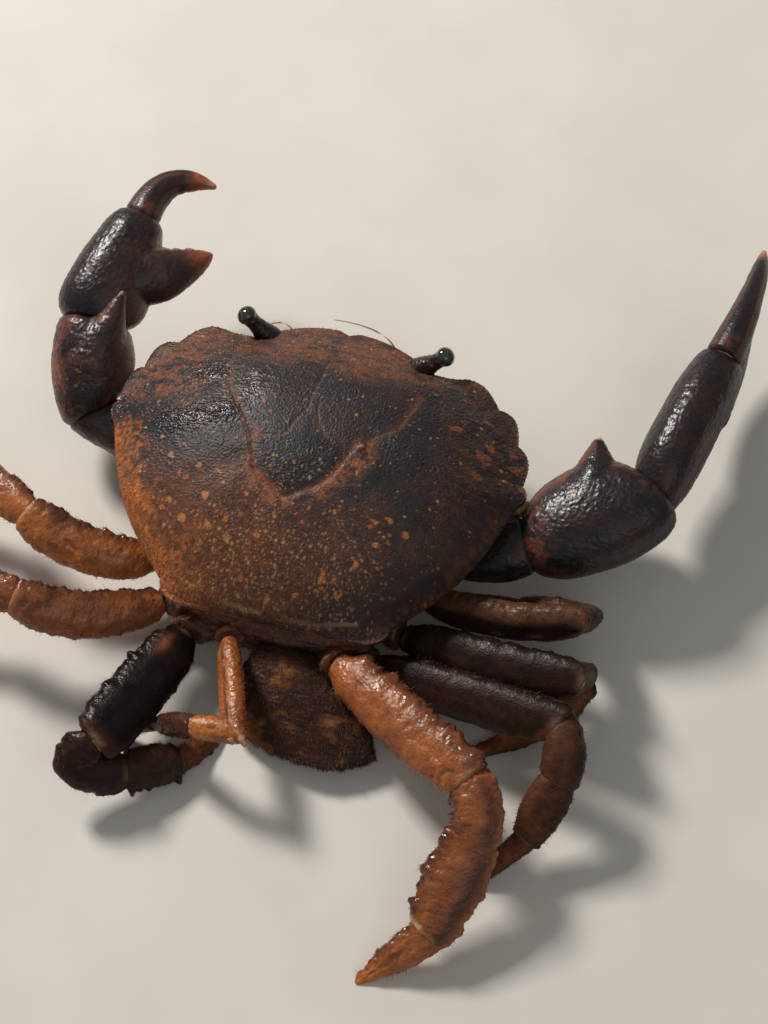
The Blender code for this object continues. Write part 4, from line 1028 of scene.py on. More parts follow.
def shell_relief(flat, u):
    """Grooves, swollen regions, ridges, wavy rough lines and granules of the shell's upper side."""
    x, y = flat[..., 0], flat[..., 1]
    mirrored = np.stack([np.abs(x), y], -1)
    deep = np.stack([x, y, 0 * x], -1)
    groove = np.zeros(x.shape)
    nearest = np.full(x.shape, 9.0)
    for path, depth, width in NECK_GROOVES + OTHER_GROOVES:
        far = path_distance(flat, smooth_path(path))
        nearest = np.minimum(nearest, far)
        sharp = 0.4 * depth * bell(far, 1.2 * width)
        groove = np.maximum(groove, sharp + 0.16 * depth * bell(far, 0.9))
    swell = 0.1 * (1 - bell(nearest, 2.2))
    along_ridge = path_distance(mirrored, BRANCHIAL_RIDGE)
    ridge = BRANCHIAL_RIDGE_HEIGHT * bell(along_ridge, 1.2)
    rear_ridge = 0.12 * bell(path_distance(flat, REAR_RIDGE), 0.4)
    knob = SHELL_KNOB_HEIGHT * mound(x, y, SHELL_KNOB)
    rim = 0.13 * bell(path_distance(flat, REAR_RIM), 0.2)
    front = step(y + 0.03 * np.abs(x) ** 1.5, 5.0, 10.0)
    outer = step(np.abs(x), 9.0, 15.0) * step(y, -1.0, 4.0)
    wave = np.cos((y * TURN / 0.95) + 3.2 * noise(deep, 1.6, 11) + 1.5 * noise(deep, 4.5, 12))
    broken = step(noise(deep * (0.5, 1.6, 1), 0.9, 13), -0.15, 0.35)
    lines = 0.06 * clamp(wave) ** 2 * broken * np.maximum(front, 0.8 * outer)
    coarse = np.maximum(step(np.abs(x) + 0.4 * y, 10.0, 16.0), bell(along_ridge, 1.5))
    coarse = coarse * (0.6 + 0.4 * step(-x, -4, 4))
    coarse = np.maximum(coarse, step(u, 0.8, 0.9) * step(-x, 4, 10) * step(-y, -3, 0))
    granules = beads(deep, 0.3, 21) * (0.045 + 0.09 * coarse + 0.03 * front)
    large = beads(deep, 0.52, 31, 0.4) * (0.01 + 0.1 * coarse)
    lumps = 0.05 * noise(deep, 2.2, 41) + 0.02 * noise(deep, 0.7, 42)
    strewn = 0.04 * specks(deep, 0.6, 71, 0.5 * step(-y, 0, 6), 0.16)
    inner = 1 - u ** GROOVE_END_POWER
    uneven = (swell - groove + lumps + strewn) * inner
    return uneven + ridge + rear_ridge + knob + rim + lines + granules + large


def shell_height(flat, u, edge_y):
    """How high the smooth shell stands: a dome over its edge, with a hollow at each eye."""
    low = edge_height(edge_y)
    across = np.abs(flat[..., 0]) / DOME_REACH[0]
    lengthways = np.abs(flat[..., 1] - DOME_MIDDLE_Y) / DOME_REACH[1]
    out = (across ** DOME_SQUARENESS + lengthways ** DOME_SQUARENESS) ** (1 / DOME_SQUARENESS)
    out = np.minimum(1, out + (1 - out) * u ** EDGE_POWER)
    dome = (DOME_Z - 0.15 - low) * (1 - out * out) ** DOME_POWER
    sockets = 0
    for sign in (1, -1):
        off = flat - np.array((sign * (STALK[0][0] + 0.5), STALK[0][1] + 0.2))
        sockets = sockets + 0.9 * np.exp(-(np.linalg.norm(off, axis=-1) / 1.15) ** 4)
    return low + dome - sockets


def build_carapace(materials):
    """The shell: an even grid over its top, with a beaded rim turned under to meet the body."""
    ring = margin()
    n = SHELL_CELLS
    a, b = np.meshgrid(np.linspace(-1, 1, n + 1), np.linspace(-1, 1, n + 1), indexing="ij")
    u = np.maximum(np.abs(a), np.abs(b))
    safe_a, safe_b = np.where(np.abs(a) < 1e-9, 1e-9, a), np.where(np.abs(b) < 1e-9, 1e-9, b)
    wide = np.abs(a) >= np.abs(b)
    angle = np.where(wide, math.pi / 4 * b / safe_a + np.where(a < 0, math.pi, 0),
                     math.pi / 2 - math.pi / 4 * a / safe_b + np.where(b < 0, math.pi, 0))
    t = (angle / TURN) % 1.0
    outer = around(ring, t)
    far = np.linalg.norm(outer, axis=-1)
    heading = np.arctan2(outer[..., 1], outer[..., 0])
    round_reach = 1 / np.hypot(np.cos(heading) / ROUND_REACH[0], np.sin(heading) / ROUND_REACH[1])
    reach = round_reach + (far - round_reach) * u ** OUTLINE_POWER
    flat = unit(outer) * (u * reach)[..., None]
    relief = shell_relief(flat, u)
    height = shell_height(flat, u, outer[..., 1]) + relief
    top = np.concatenate([flat, height[..., None]], -1)
    marks = shell_marks(flat, u)
    index = np.arange((n + 1) ** 2).reshape(n + 1, n + 1)
    quads = np.stack([index[:-1, :-1], index[1:, :-1], index[1:, 1:], index[:-1, 1:]], -1).reshape(-1, 4)
    border = np.concatenate([index[-1, n // 2:], index[-2::-1, -1], index[0, -2::-1], index[1:, 0],
                             index[-1, 1:n // 2]])
    edge = top.reshape(-1, 3)[border]
    lengths = np.linspace(0, 1, len(border), endpoint=False) * MARGIN_LENGTH
    teeth = BEAD_HEIGHT * np.abs(np.sin(math.pi * lengths / BEAD_SPACING)) * step(edge[:, 1], -2, 2)
    out_way = unit(edge[:, :2])
    rings = []
    under_z = edge_height(edge[:, 1])
    for share, drop, bead in RIM_RINGS:
        spot = edge[:, :2] * share + out_way * (teeth * bead)[:, None]
        rings.append(np.concatenate([spot, (under_z - drop * RIM_DROP)[:, None]], -1))
    foot = under_z - UNDER_DROP
    for share, drop in UNDER_RINGS:
        z = foot + (SHELL_FLOOR_Z - foot) * drop
        spot = np.concatenate([edge[:, :2] * share, z[:, None]], -1)
        spot[:, 2] += 0.06 * noise(spot, 0.8, 51)
        rings.append(spot)
    under = np.stack(rings)
    count, sides = under.shape[:2]
    base = (n + 1) ** 2
    k = np.arange(sides)
    stitched = np.stack([border, border[(k + 1) % sides], base + (k + 1) % sides, base + k], -1)
    under_quads, caps = ring_faces(count, sides)
    caps = caps[sides:]
    caps[:, 2] = count * sides
    points = np.concatenate([top.reshape(-1, 3), under.reshape(-1, 3), [under[-1].mean(0)]])
    under_flat = under.reshape(-1, 3)
    belly_noise = noise(under_flat, 1.5, 52)
    # Painted light and shade under the rim: rustier and less dark on the left, which faces the light, and
    # darker on the right
    painted_sunlit_side = step(-under_flat[:, 0], -2, 8)
    under_marks = (0.15 + 0.5 * painted_sunlit_side + 0.3 * belly_noise, 0.7 + 0 * belly_noise, 0.6 - 0.6 * painted_sunlit_side,
                   0 * belly_noise, 0 * belly_noise)
    all_marks = [np.concatenate([m.ravel(), v, [0]]) for m, v in zip(marks, under_marks)]
    shape = points, np.concatenate([quads, stitched, under_quads + base]), caps + base
    make_piece("carapace_shell", shape, materials["shell"], all_marks, ("carapace",))
    fuzz_on_shell(top, marks[0], marks[1], u, materials)


def fuzz_on_shell(top, rust, brown, u, materials):
    """Short bristles that lie low: rusty ones where the edge is rusty, and brown ones over the front."""
    rng = np.random.default_rng(11)
    points = top.reshape(-1, 3)
    y = points[:, 1]
    rusty = rust.ravel() ** 1.5 * (0.15 + 0.85 * step(u.ravel(), 0.8, 1.0)) * step(-y, -5, -2)
    tan = brown.ravel() * step(y, 8.5, 12.0)
    tan = tan + 3 * step(-y, 12.0, 13.2) * step(11 - np.abs(points[:, 0]), 0, 2)
    for name, weight, count, material in (
            ("carapace_rust_fuzz", rusty, RUST_FUZZ_COUNT, "bristle"),
            ("carapace_brown_fuzz", tan, BROWN_FUZZ_COUNT, "brown_bristle")):
        chosen = rng.choice(len(points), count, replace=False, p=weight / weight.sum())
        roots = points[chosen]
        lean = unit(np.stack([roots[:, 0] * 0.5, np.where(roots[:, 1] > 6, 12.0, -9.0), roots[:, 0] * 0], -1))
        out = unit(np.stack([roots[:, 0], roots[:, 1], 9 + 0 * roots[:, 0]], -1))
        ways = unit(lean * 0.9 + out * 0.3 + rng.normal(size=roots.shape) * 0.35)
        lengths = rng.uniform(0.14, 0.34, count)
        places = np.stack([(roots[:, 0] + 22) / 44, (roots[:, 1] + 16) / 36], -1)
        bristles(name, roots - out * ROOT_SUNK, ways, lengths, SHELL_FUZZ_WIDTH, places,
                 materials[material], rng)


# Legs


def leg_frame(name):
    """The joints, bows and shared planes of a walking leg, with the way that its flat faces."""
    joints, thigh_bow, wrist_bow = LEG_JOINTS[name]
    joints = [vector(j) for j in joints]
    bows = [vector(b) for b in (thigh_bow, wrist_bow, (0, 0, 0), (0, 0, 0))]
    first = [unit(b - a + 4 * bow) for a, b, bow in zip(joints, joints[1:], bows)]
    last = [unit(b - a - 4 * bow) for a, b, bow in zip(joints, joints[1:], bows)]
    planes = [first[0]] + [unit(a + b) for a, b in zip(last, first[1:])] + [-UP]
    flat_face = vector(FLAT_FACES.get(name, USUAL_FLAT_FACE))
    if np.cross(flat_face, joints[1] - joints[0])[1] < 0:
        flat_face = -flat_face
    return joints, bows, planes, flat_face


def lobed(lobes, height, seed, sign):
    """A ragged, scalloped ridge along one edge of a limb, with a lower one on the other edge."""
    def crest(s, up):
        place = s + 0.05 * np.sin(9 * s + seed) + 0.03 * np.sin(23 * s + 3 * seed)
        ragged = 0.6 + 0.4 * np.sin(5.3 * math.pi * s * lobes / 4 + seed) + 0.25 * np.sin(40 * s + 2 * seed)
        scallops = height * np.abs(np.sin(math.pi * lobes * place)) * np.maximum(ragged, 0.1)
        main = clamp((sign * up - 0.55) / 0.45) ** 1.4
        other = clamp((-sign * up - 0.6) / 0.4) ** 1.4
        return sign * scallops * (main - (0.25 if sign > 0 else 0.5) * other)
    return crest


def build_leg(name, seed, materials):
    """One walking leg: four shells with ragged crests, the skin of its joints and its bristles."""
    joints, bows, planes, flat_face = leg_frame(name)
    girth = GIRTH_OF_LEG.get(name, (1, 1))
    dark = name in DARK_AND_SHADED_LEGS
    material = materials["leg_dark" if dark else "leg"]
    rng = np.random.default_rng(100 + seed)
    scale = LOBE_SCALE.get(name, 1)
    tufts = []
    for index, part in enumerate(LEG_PARTS):
        swell = SHIN_SWELL.get(name, {}).get(part, 1)
        half_width = LEG_GIRTH[part][0] * girth[0]
        half_height = LEG_GIRTH[part][1] * girth[1] * swell
        last = part == "dactyl"
        sizes = [(s, w * half_width, h * half_height) for s, w, h in LEG_PROFILES.get(part, DACTYL_PROFILE)]
        if last:
            sizes.append((1, TIP_RADIUS, TIP_RADIUS))
        start = joints[index] - planes[index] * (LEG_NECK if index else 0)
        end = joints[index + 1]
        piece_seed = seed * 10 + index
        lobe_edge = LOBE_EDGES.get(name, (1, 1, 1, 1))[index]
        lobe_height = LEG_LOBE_HEIGHT[part] * girth[1] * scale
        grid = limb(start, end, planes[index], planes[index + 1], lambda s: along(sizes, s),
                    bow=bows[index], flat_face=flat_face, rings=LEG_RINGS[part], sides=LEG_SIDES,
                    rounding=(0.5, 0.3 if last else 0.5),
                    crest=lobed(LEG_LOBES[part], lobe_height, piece_seed, lobe_edge))
        points, normals = skin_of(grid)
        s, up, side = grid["s"], grid["up"], grid["side"]
        edge = clamp((lobe_edge * up - 0.5) / 0.5)
        lower = clamp((-lobe_edge * up - 0.6) / 0.4)
        ends = 1 - clamp(grid["ends"] / 0.5)
        flats = 1 - clamp(edge + lower)
        middle_groove = 0.05 * bell(up, 0.2) * np.abs(side) * step(s, 0.05, 0.2) * step(1 - s, 0.05, 0.2)
        sheet = np.stack([s * np.linalg.norm(end - start), up * half_height, 0 * s], -1)
        pits = specks(sheet * (0.5, 1.0, 1), 0.72, 68 + piece_seed, 0.75, 0.24, 0.15)
        pits = pits * step(flats, 0.2, 0.8)
        rough = SMOOTH_LEG_ROUGHNESS if name in SMOOTH_LEGS else DARK_LEG_ROUGHNESS if dark else 1.0
        lumps = 0.12 * noise(points, 1.3, 61 + piece_seed) + 0.06 * noise(points, 0.55, 62 + piece_seed)
        lumps = lumps * rough
        warts = beads(points, 0.62, 63 + piece_seed) * (0.025 + 0.11 * edge + 0.07 * lower) * rough
        taper = np.where(last, step(1 - s, 0.0, 0.25), 1.0)
        relief = (lumps + warts - middle_groove * girth[1] - 0.1 * pits * (1 - dark)) * ends * taper
        points = points + normals * relief[..., None]
        points[..., 2] = np.maximum(points[..., 2], 0)
        marks = leg_marks(name, index, points, s, up * lobe_edge, edge, lower, pits, piece_seed)
        node_name = "leg_%s_%s" % (name, part)
        grid_piece(node_name + "_shell", points, material, marks, (node_name,))
        tufts.append(edge_bristles(points, normals, s, up, grid["tangent"], index, part, rng))
    joint_skin("leg_%s_joint_skin" % name, joints[1:4], planes[1:4], half_sizes(name), flat_face, materials)
    roots, ways, lengths, places = (np.concatenate(group) for group in zip(*tufts))
    bristle = "dark_bristle" if name in DARKEST_LEGS else "brown_bristle" if dark else "bristle"
    bristles("leg_%s_bristles" % name, roots, ways, lengths, BRISTLE_WIDTH, places, materials[bristle],
             rng)


def leg_marks(name, index, points, s, up, edge, lower, pits, seed):
    """Where one piece of a leg is rusty, brown, dark, pale and wet, with some painted highlights and shade.
    Up is 1 along its lobed edge.
    """
    rust_tone, brown_tone, dark_tone = LEG_TONES[name][index]
    last = index == 3
    tone = noise(points, 1.6, 65 + seed)
    grit = noise(points, 0.5, 66 + seed)
    tip = step(s, 0.6, 1.0) * last
    near_joint = np.maximum(step(s, 0.93, 0.99), step(1 - s, 0.95, 0.995)) * (not last)
    rust = rust_tone * (1 + 0.7 * tone + 0.35 * grit) + 0.7 * tip + 0.2 * near_joint
    brown = brown_tone * (1 + 0.6 * noise(points, 2.3, 67 + seed) + 0.3 * grit)
    wet = clamp(edge ** 1.2 * (0.85 + 0.5 * grit) + 0.25 * lower)
    pale = 0.2 * near_joint * step(-np.abs(up), -0.6, -0.2) + 0.35 * step(s, 0.95, 1.0) * last
    dark = np.maximum(wet, dark_tone * (1 + 0.4 * tone)) * (1 - tip)
    if name == "right_4":
        dark = np.maximum(dark, 0.85 * pits * (index == 0))
        band = bell(up + 0.5, 0.42) * step(s, 0.02, 0.2) * (index in (1, 2))
        band = band * (1.0 if index == 2 else 0.8)
        dark = np.maximum(dark, 0.68 * band)
        rust = rust * (1 - band)
        brown = brown * (1 - 0.7 * band)
        knee = step(s, 0.8, 0.95) * step(up, 0.0, 0.5) * (index == 0)
        dark = np.maximum(dark, 0.7 * knee)
        rust = np.maximum(rust, 0.7 * step(s, 0.86, 0.93) * step(-up, 0.3, 0.7) * (index == 0))
        rust = np.maximum(rust, 0.5 * lower * (index > 0))
        pale = np.maximum(pale, 0.7 * step(s, 0.9, 0.97) * step(up + 0.3 * grit, 0.1, 0.5) * (index == 2))
    if name == "right_3":
        rust = np.maximum(rust, 0.9 * step(s, 0.9, 0.96) * step(-up, 0.25, 0.55) * (index == 0))
        ridge = bell(up + 0.82, 0.07) + bell(up - 0.72, 0.04)
        brown = np.maximum(brown, 0.7 * ridge * step(grit, -0.7, 0.2) * (index == 0))
        rings = clamp(np.cos(s * 46 + 1.5 * tone)) ** 4
        brown = np.maximum(brown, 0.35 * rings * (index == 2))
        rust = np.maximum(rust, 0.45 * step(-up, 0.3, 0.7) * (index == 2))
    if name == "right_1":
        top = step(up + 0.25 * tone, 0.15, 0.5) * (index == 0)
        brown = np.maximum(brown, 0.95 * top * (0.65 + 0.35 * step(grit, -0.5, 0.3)))
        dark = dark * (1 - 0.9 * top)
        # Painted highlights: a row of pale glints along the lower half of the first right leg's merus,
        # standing in for wet reflections on its lobes
        painted_glints = np.abs(np.sin(s * 15)) ** 6 * bell(up + 0.35, 0.12) * step(s, 0.35, 0.5)
        pale = np.maximum(pale, 0.2 * painted_glints * (index == 0))
    if name == "left_1":
        dark = np.maximum(dark, step(up + 0.25 * grit, 0.28, 0.6) * (index == 0))
        brown = np.maximum(brown, 0.5 * step(1 - s, 0.75, 0.95) * (index == 0))
    if name == "left_2":
        dark = np.maximum(dark, 0.7 * step(up + 0.3 * grit, 0.3, 0.7) * (index == 0))
        rust = np.maximum(rust, 0.4 * step(1 - s, 0.8, 0.95) * (index == 0))
    if name == "left_3":
        spot = mound(s, up, LEG_SPOT) * (index == 0)
        rust = np.maximum(rust, 0.8 * spot)
        dark = dark * (1 - spot)
        rust = np.maximum(rust, 0.25 * step(s, 0.85, 1.0) * (index == 0))
    if name == "left_4":
        line = bell(up - 0.1 + 0.1 * tone, 0.16) * (index == 0) * step(s, 0.05, 0.2)
        brown = np.maximum(brown, 0.9 * line)
        # Painted shade: brown on the lower face of the fourth left leg's carpus, which faces away from the
        # light
        brown = np.maximum(brown, 0.7 * step(-up, 0.3, 0.6) * (index == 1))
        rust = rust * (1 - 0.8 * line)
        knob = bell(s - 0.97, 0.05) * step(grit, -0.2, 0.3) * (index == 0)
        pale = np.maximum(pale, 0.7 * knob)
        dark = dark * (1 - 0.85 * (index < 2))
    # Painted highlights: pale glints scattered along the lobed edge
    shine = step(noise(points, 0.45, 70 + seed), 0.5, 0.7) * edge
    gloss = clamp(0.3 + 0.8 * wet + 0.4 * step(tone, 0.0, 0.5)) * (1 if name in GLOSSY_LEGS else 0.6)
    return clamp(rust) * (1 - wet), clamp(brown), clamp(dark), clamp(pale + 0.1 * shine), gloss


def half_sizes(name):
    """Half the width and height of the skin in each joint of a leg."""
    girth = GIRTH_OF_LEG.get(name, (1, 1))
    return [(0.58 * LEG_GIRTH[part][0] * girth[0], 0.52 * LEG_GIRTH[part][1] * girth[1])
            for part in LEG_PARTS[1:]]


def edge_bristles(points, normals, s, up, tangent, index, part, rng):
    """Where bristles stand on one piece of a leg: dense on both edges, sparse on the flats."""
    count = LEG_BRISTLE_COUNT[part]
    weight = (clamp((np.abs(up) - 0.7) / 0.3) + 0.12) * step(s, 0.04, 0.08) * step(1 - s, 0.03, 0.1)
    weight = weight.ravel()
    chosen = rng.choice(weight.size, count, replace=False, p=weight / weight.sum())
    ring, column = np.divmod(chosen, points.shape[1])
    roots = points[ring, column]
    out = normals[ring, column]
    on_edge = step(np.abs(up[ring, column]), 0.6, 0.95)
    ways = out * (0.3 + 0.4 * on_edge)[:, None] + tangent[ring] * 0.65
    ways = unit(ways + rng.normal(size=out.shape) * 0.25)
    lengths = rng.uniform(0.12, 0.3, count) * (0.7 + 0.6 * on_edge)
    lengths = np.where(rng.uniform(size=count) < 0.04, 1.9 * lengths, lengths)
    low = roots[:, 2] < 0.8
    ways[:, 2] = np.where(low, np.maximum(ways[:, 2], 0.25), ways[:, 2])
    places = [(index + 0.05 + 0.9 * column / points.shape[1]) / 4, 0.02 + 0.96 * s[ring, column]]
    return roots - out * ROOT_SUNK, ways, lengths, np.stack(places, -1)


def swollen(half_width, half_height, least):
    """The sizes of a limb that is thickest halfway and has the least share of that at its ends."""
    def size(s):
        share = least + (1 - least) * np.sin(math.pi * s)
        return np.stack([half_width * share, half_height * share], -1)
    return size


def joint_skin(name, joints, planes, sizes, flat_face, materials, extra=()):
    """Soft pale skin that bridges the narrow gap at each joint of a limb."""
    grids = []
    for joint, plane, (half_width, half_height) in zip(joints, planes, sizes):
        reach = plane * JOINT_SKIN_REACH
        grids.append(limb(joint - reach, joint + reach, plane, plane, swollen(half_width, half_height, 0.86),
                          flat_face=flat_face, rings=16, sides=36, rounding=(0.3, 0.3)))
    for start, end, radius in extra:
        way = unit(vector(end) - vector(start))
        grids.append(limb(start, end, way, way, swollen(radius, radius, 0.5), rings=30, sides=36,
                          rounding=(0.4, 0.4)))
    shapes = []
    for grid in grids:
        points, normals = skin_of(grid)
        folds = 0.05 * np.sin(grid["s"] * 9 * math.pi) + 0.05 * noise(points, 0.5, 71)
        points = points + normals * folds[..., None]
        points[..., 2] = np.maximum(points[..., 2], 0.02)
        shapes.append(closed_grid(points))
    make_piece(name, joined(shapes), materials["joint"])


# Claws


def toothed(sign, height):
    """Blunt, uneven teeth along the edge of a finger that faces the other finger."""
    def crest(s, up):
        edge = clamp((sign * up - 0.7) / 0.3) ** 0.8
        bite = np.abs(np.sin(math.pi * FINGER_TEETH * s ** 1.15)) ** 0.6 * (0.7 + 0.3 * np.sin(11 * s))
        return sign * height * edge * bite * step(s, 0.16, 0.3) * step(1 - s, 0.03, 0.14)
    return crest


def claw_relief(points, middle, seed):
    """Fine granules, larger on the upper side, with faint dents."""
    upper = clamp((unit(points - middle) @ UP) * 0.5 + 0.5)
    granules = beads(points, 0.36, seed) * (0.025 + 0.045 * upper)
    granules = granules + beads(points, 0.6, seed + 3) * 0.03 * upper
    dents = 0.05 * noise(points, 2.4, seed + 1) + 0.02 * noise(points, 0.6, seed + 2)
    return granules + dents


def build_finger(axis, sizes, way_up, sign, height, start_plane):
    """The grid of one claw finger."""
    start, tip, bow = (vector(v) for v in axis)
    first = unit(tip - start + 4 * bow) if start_plane is None else start_plane
    last = unit(tip - start - 4 * bow)
    return limb(start, tip, first, last, lambda s: along(sizes, s), way_up=way_up, bow=bow, rings=130,
                sides=72, rounding=(0.5, 0.22), crest=toothed(sign, height))


def share_along(points, start, end):
    """How far along the line from start to end each point lies, from 0 to 1 between them."""
    return ((points - start) @ (end - start)) / ((end - start) @ (end - start))


def build_arm(side, seed, materials):
    """One claw arm: upper arm, wrist with its spine, palm with its fixed finger, and moving finger."""
    joints = [vector(j) for j in ARM_JOINTS[side]]
    ways = [unit(b - a) for a, b in zip(joints, joints[1:])]
    planes = [ways[0]] + [unit(a + b) for a, b in zip(ways, ways[1:])] + [ways[-1]]
    finger_side = unit(vector(FINGER_SIDE[side]))
    material = materials["claw"]
    shapes = (("merus", MERUS_SIZE[side], UP), ("carpus", CARPUS_SIZE[side], UP),
              ("palm", PALM_SIZE[side], finger_side))
    grids = {}
    for index, (part, sizes, way_up) in enumerate(shapes):
        start = joints[index] + planes[index] * (GAP / 2 - (LEG_NECK if index else 0))
        grids[part] = limb(start, joints[index + 1], planes[index], planes[index + 1],
                           lambda s: along(sizes, s), way_up=way_up, square=CLAW_SQUARENESS, rings=90,
                           sides=96, rounding=(0.8, 0.8))
    foot, tip = (vector(p) for p in WRIST_SPINE[side])
    spine_way = unit(tip - foot)
    spine = limb(foot, tip, spine_way, spine_way, lambda s: along(SPINE_SIZE[side], s), rings=60, sides=48,
                 rounding=(0.5, 0.2))
    fixed = build_finger(FIXED_FINGER[side], FIXED_SIZE, finger_side, 1, FIXED_TOOTH_HEIGHT, None)
    skins = {"merus": [grids["merus"]], "carpus": [grids["carpus"], spine], "palm": [grids["palm"], fixed]}
    for k, (part, group) in enumerate(skins.items()):
        shape, normals = blended([closed_grid(g["points"]) for g in group], CLAW_VOXEL, CLAW_SMOOTHING)
        points = shape[0]
        middle = grids[part]["points"].reshape(-1, 3).mean(0)
        relief = claw_relief(points, middle, 80 + 10 * seed + k)
        s = share_along(points, joints[k], joints[k + 1])
        tone, grit = noise(points, 1.8, 82 + k), noise(points, 0.5, 83 + k)
        inner = -normals @ np.cross(ways[k], UP)
        rust = clamp(0.02 + 0.05 * tone + 0.05 * specks(points, 0.7, 85 + k, 0.3, 0.2))
        rust = rust * step(1 - s, 0.0, 0.3)
        # Painted reflected light from the floor: brown on faces that turn down and on faces turned right of
        # the view, where the dark mark gives way
        brown = np.maximum(clamp(0.1 - normals[:, 2] * 0.9), clamp(normals @ VIEW_RIGHT * 1.1 - 0.15))
        brown = clamp(brown * (0.8 + 0.3 * tone + 0.2 * grit))
        dark = clamp(0.4 - 0.4 * tone) * (1 - brown)
        pale = 0 * s
        if part == "merus":
            brown = np.maximum(brown, clamp(0.3 + 0.3 * tone))
            relief = relief + 0.05 * noise(points, 0.7, 88)
        if part == "carpus":
            edge = clamp(inner * 1.5 - 0.45) * step(points[:, 2], 6.5, 8.5)
            edge = edge * step(tone + 0.5 * grit, -0.7, 0.2)
            collar = step(s, 0.86, 0.94) * step(inner, -0.2, 0.5) * step(grit, -0.6, 0.3)
            foot_patch = step(1 - s, 0.75, 0.95) * step(grit + tone, -0.5, 0.5)
            rust = np.maximum.reduce([rust, 0.85 * edge, 0.3 * collar, 0.3 * foot_patch])
            crust = specks(points, 0.5, 95, 0.35 * step(normals[:, 2], 0.0, 0.5), 0.2)
            brown = np.maximum(brown, 0.5 * crust)
            relief = relief + 0.04 * crust
            pale = step((points - tip) @ spine_way, -0.5, -0.2) * (0.9 if side == "right" else 0.25)
            if side == "left":
                # Painted highlights: pale specks on the faces turned toward the light, which also stand a
                # little proud; and a painted pale reflection on the faces turned right of the view
                painted_glint_specks = specks(points, 0.5, 96, 0.6, 0.2, 0.2) * step(-normals @ VIEW_RIGHT, -0.5, 0.3)
                painted_glint_specks = painted_glint_specks * step(s, 0.1, 0.3) * step(1 - s, 0.2, 0.4)
                pale = np.maximum.reduce([pale, 0.2 * painted_glint_specks, 0.2 * clamp(normals @ VIEW_RIGHT * 2 - 1.0)])
                brown = np.maximum(brown, 0.55 + 0.25 * tone)
                relief = relief + 0.05 * painted_glint_specks
        if part == "palm":
            start, end = (vector(v) for v in FIXED_FINGER[side][:2])
            out = share_along(points, start, end)
            line = start + (end - start) * clamp(out)[:, None]
            close = step(-np.linalg.norm(points - line, axis=-1), -3.6, -2.2)
            rust = np.maximum(rust, close * step(out + 0.1 * tone, 0.5, 0.95) * 0.9)
            girth = along(FIXED_SIZE, clamp(out))[:, 1]
            toothy = clamp(((points - line) @ finger_side) / girth * 2.2 - 1.0)
            toothy = toothy * close * step(out, 0.25, 0.45)
            pale = clamp(toothy * 0.8 + close * step(out, 0.92, 1.05) * 0.6)
            if side == "left":
                # Painted reflected light: brown on faces turned right of the view, and a pale tan rim on the
                # farthest of them
                painted_reflection_side = normals @ VIEW_RIGHT
                brown = np.maximum(brown, 0.9 * clamp(painted_reflection_side * 1.6 + 0.25) * (0.85 + 0.2 * grit))
                brown = np.maximum(brown, close * step(out, 0.1, 0.3))
                pale = np.maximum(pale, 0.2 * clamp(painted_reflection_side * 2.0 - 0.9) * (1 - step(out, 0.1, 0.3)))
        node_name = "claw_%s_%s" % (side, part)
        make_piece(node_name + "_shell", (points + normals * relief[:, None], *shape[1:]), material,
                   (rust, brown, dark, pale), (node_name,))
    start, tip, bow = MOVING_FINGER[side]
    start = vector(start) - planes[-1] * LEG_NECK
    grid = build_finger((start, tip, bow), MOVING_SIZE, finger_side, -1, MOVING_TOOTH_HEIGHT, planes[-1])
    points, normals = skin_of(grid)
    s = grid["s"]
    ends = 1 - clamp(grid["ends"] / 0.5)
    furrows = bell(grid["side"] - 0.75, 0.14) + bell(grid["side"] + 0.75, 0.14)
    relief = (beads(points, 0.3, 90 + seed) * 0.02 - 0.05 * furrows * step(1 - s, 0.1, 0.4)
              + 0.03 * noise(points, 1.2, 91)) * ends
    points = points + normals * relief[..., None]
    grit = noise(points, 0.5, 93)
    tip_start = RUSTY_TIP_START[side]
    rust = step(s + 0.03 * grit, tip_start, tip_start + 0.2) + 0.22 * clamp(furrows) * step(1 - s, 0.2, 0.5)
    rust = np.maximum(rust, 0.3 * step(1 - s, 0.82, 0.95) * step(grit, -0.4, 0.4))
    pale = 0.42 * step(s, 0.86, 0.98)
    # Painted reflected light: brown on faces turned right of the view, fading toward the tip
    brown = clamp(normals @ VIEW_RIGHT * 1.2) * (1 - step(s, 0.6, 0.9))
    grid_piece("claw_%s_finger_shell" % side, points, material,
               (rust, brown, 0.5 - 0.5 * s, pale), ("claw_%s_finger" % side,))
    joint_skin("claw_%s_joint_skin" % side, joints[1:3] + [vector(MOVING_FINGER[side][0])],
               planes[1:3] + [planes[-1]], CLAW_JOINT_SIZES, None, materials,
               CLAW_MEMBRANES[side])


# Eyes, feelers and mouth


def build_eyes(materials):
    """A stout stalk in each orbit and a glossy eye that wraps its end."""
    for side, sign in SIDES:
        start, end, tip = (on_side(place, sign) for place in (*STALK, EYE_TIP))
        axis = unit(end - start)
        stalk = limb(start - axis * 0.4, end + axis * 0.35, axis, axis,
                     lambda s: np.stack([STALK_RADIUS * (1.7 - 0.68 * step(s, 0.0, 0.8))] * 2, -1),
                     rings=50, sides=48)
        points, normals = skin_of(stalk)
        relief = 0.05 * beads(points, 0.3, 101) + 0.04 * noise(points, 0.6, 102)
        points = points + normals * relief[..., None]
        patch = step(stalk["s"], 0.6, 0.75) * step(noise(points, 0.5, 103), -0.1, 0.3)
        grid_piece("eyestalk_%s_shell" % side, points, materials["claw"],
                   (0 * patch, 0.3 + 0.6 * patch, 0.6 - 0.6 * patch, 0.12 * patch), ("eyestalk_" + side,))

        def ball(s):
            level = 1.75 * s - 0.75
            return np.stack([CORNEA_RADIUS * np.sqrt(np.maximum(0.0004, 1 - level ** 2))] * 2, -1)
        eye = limb(end - axis * 0.05, tip, axis, axis, ball, rings=64, sides=64, rounding=(0.02, 0.001))
        make_piece("eye_%s_cornea" % side, closed_grid(eye["points"]), materials["eye"], None,
                   ("eye_" + side,))


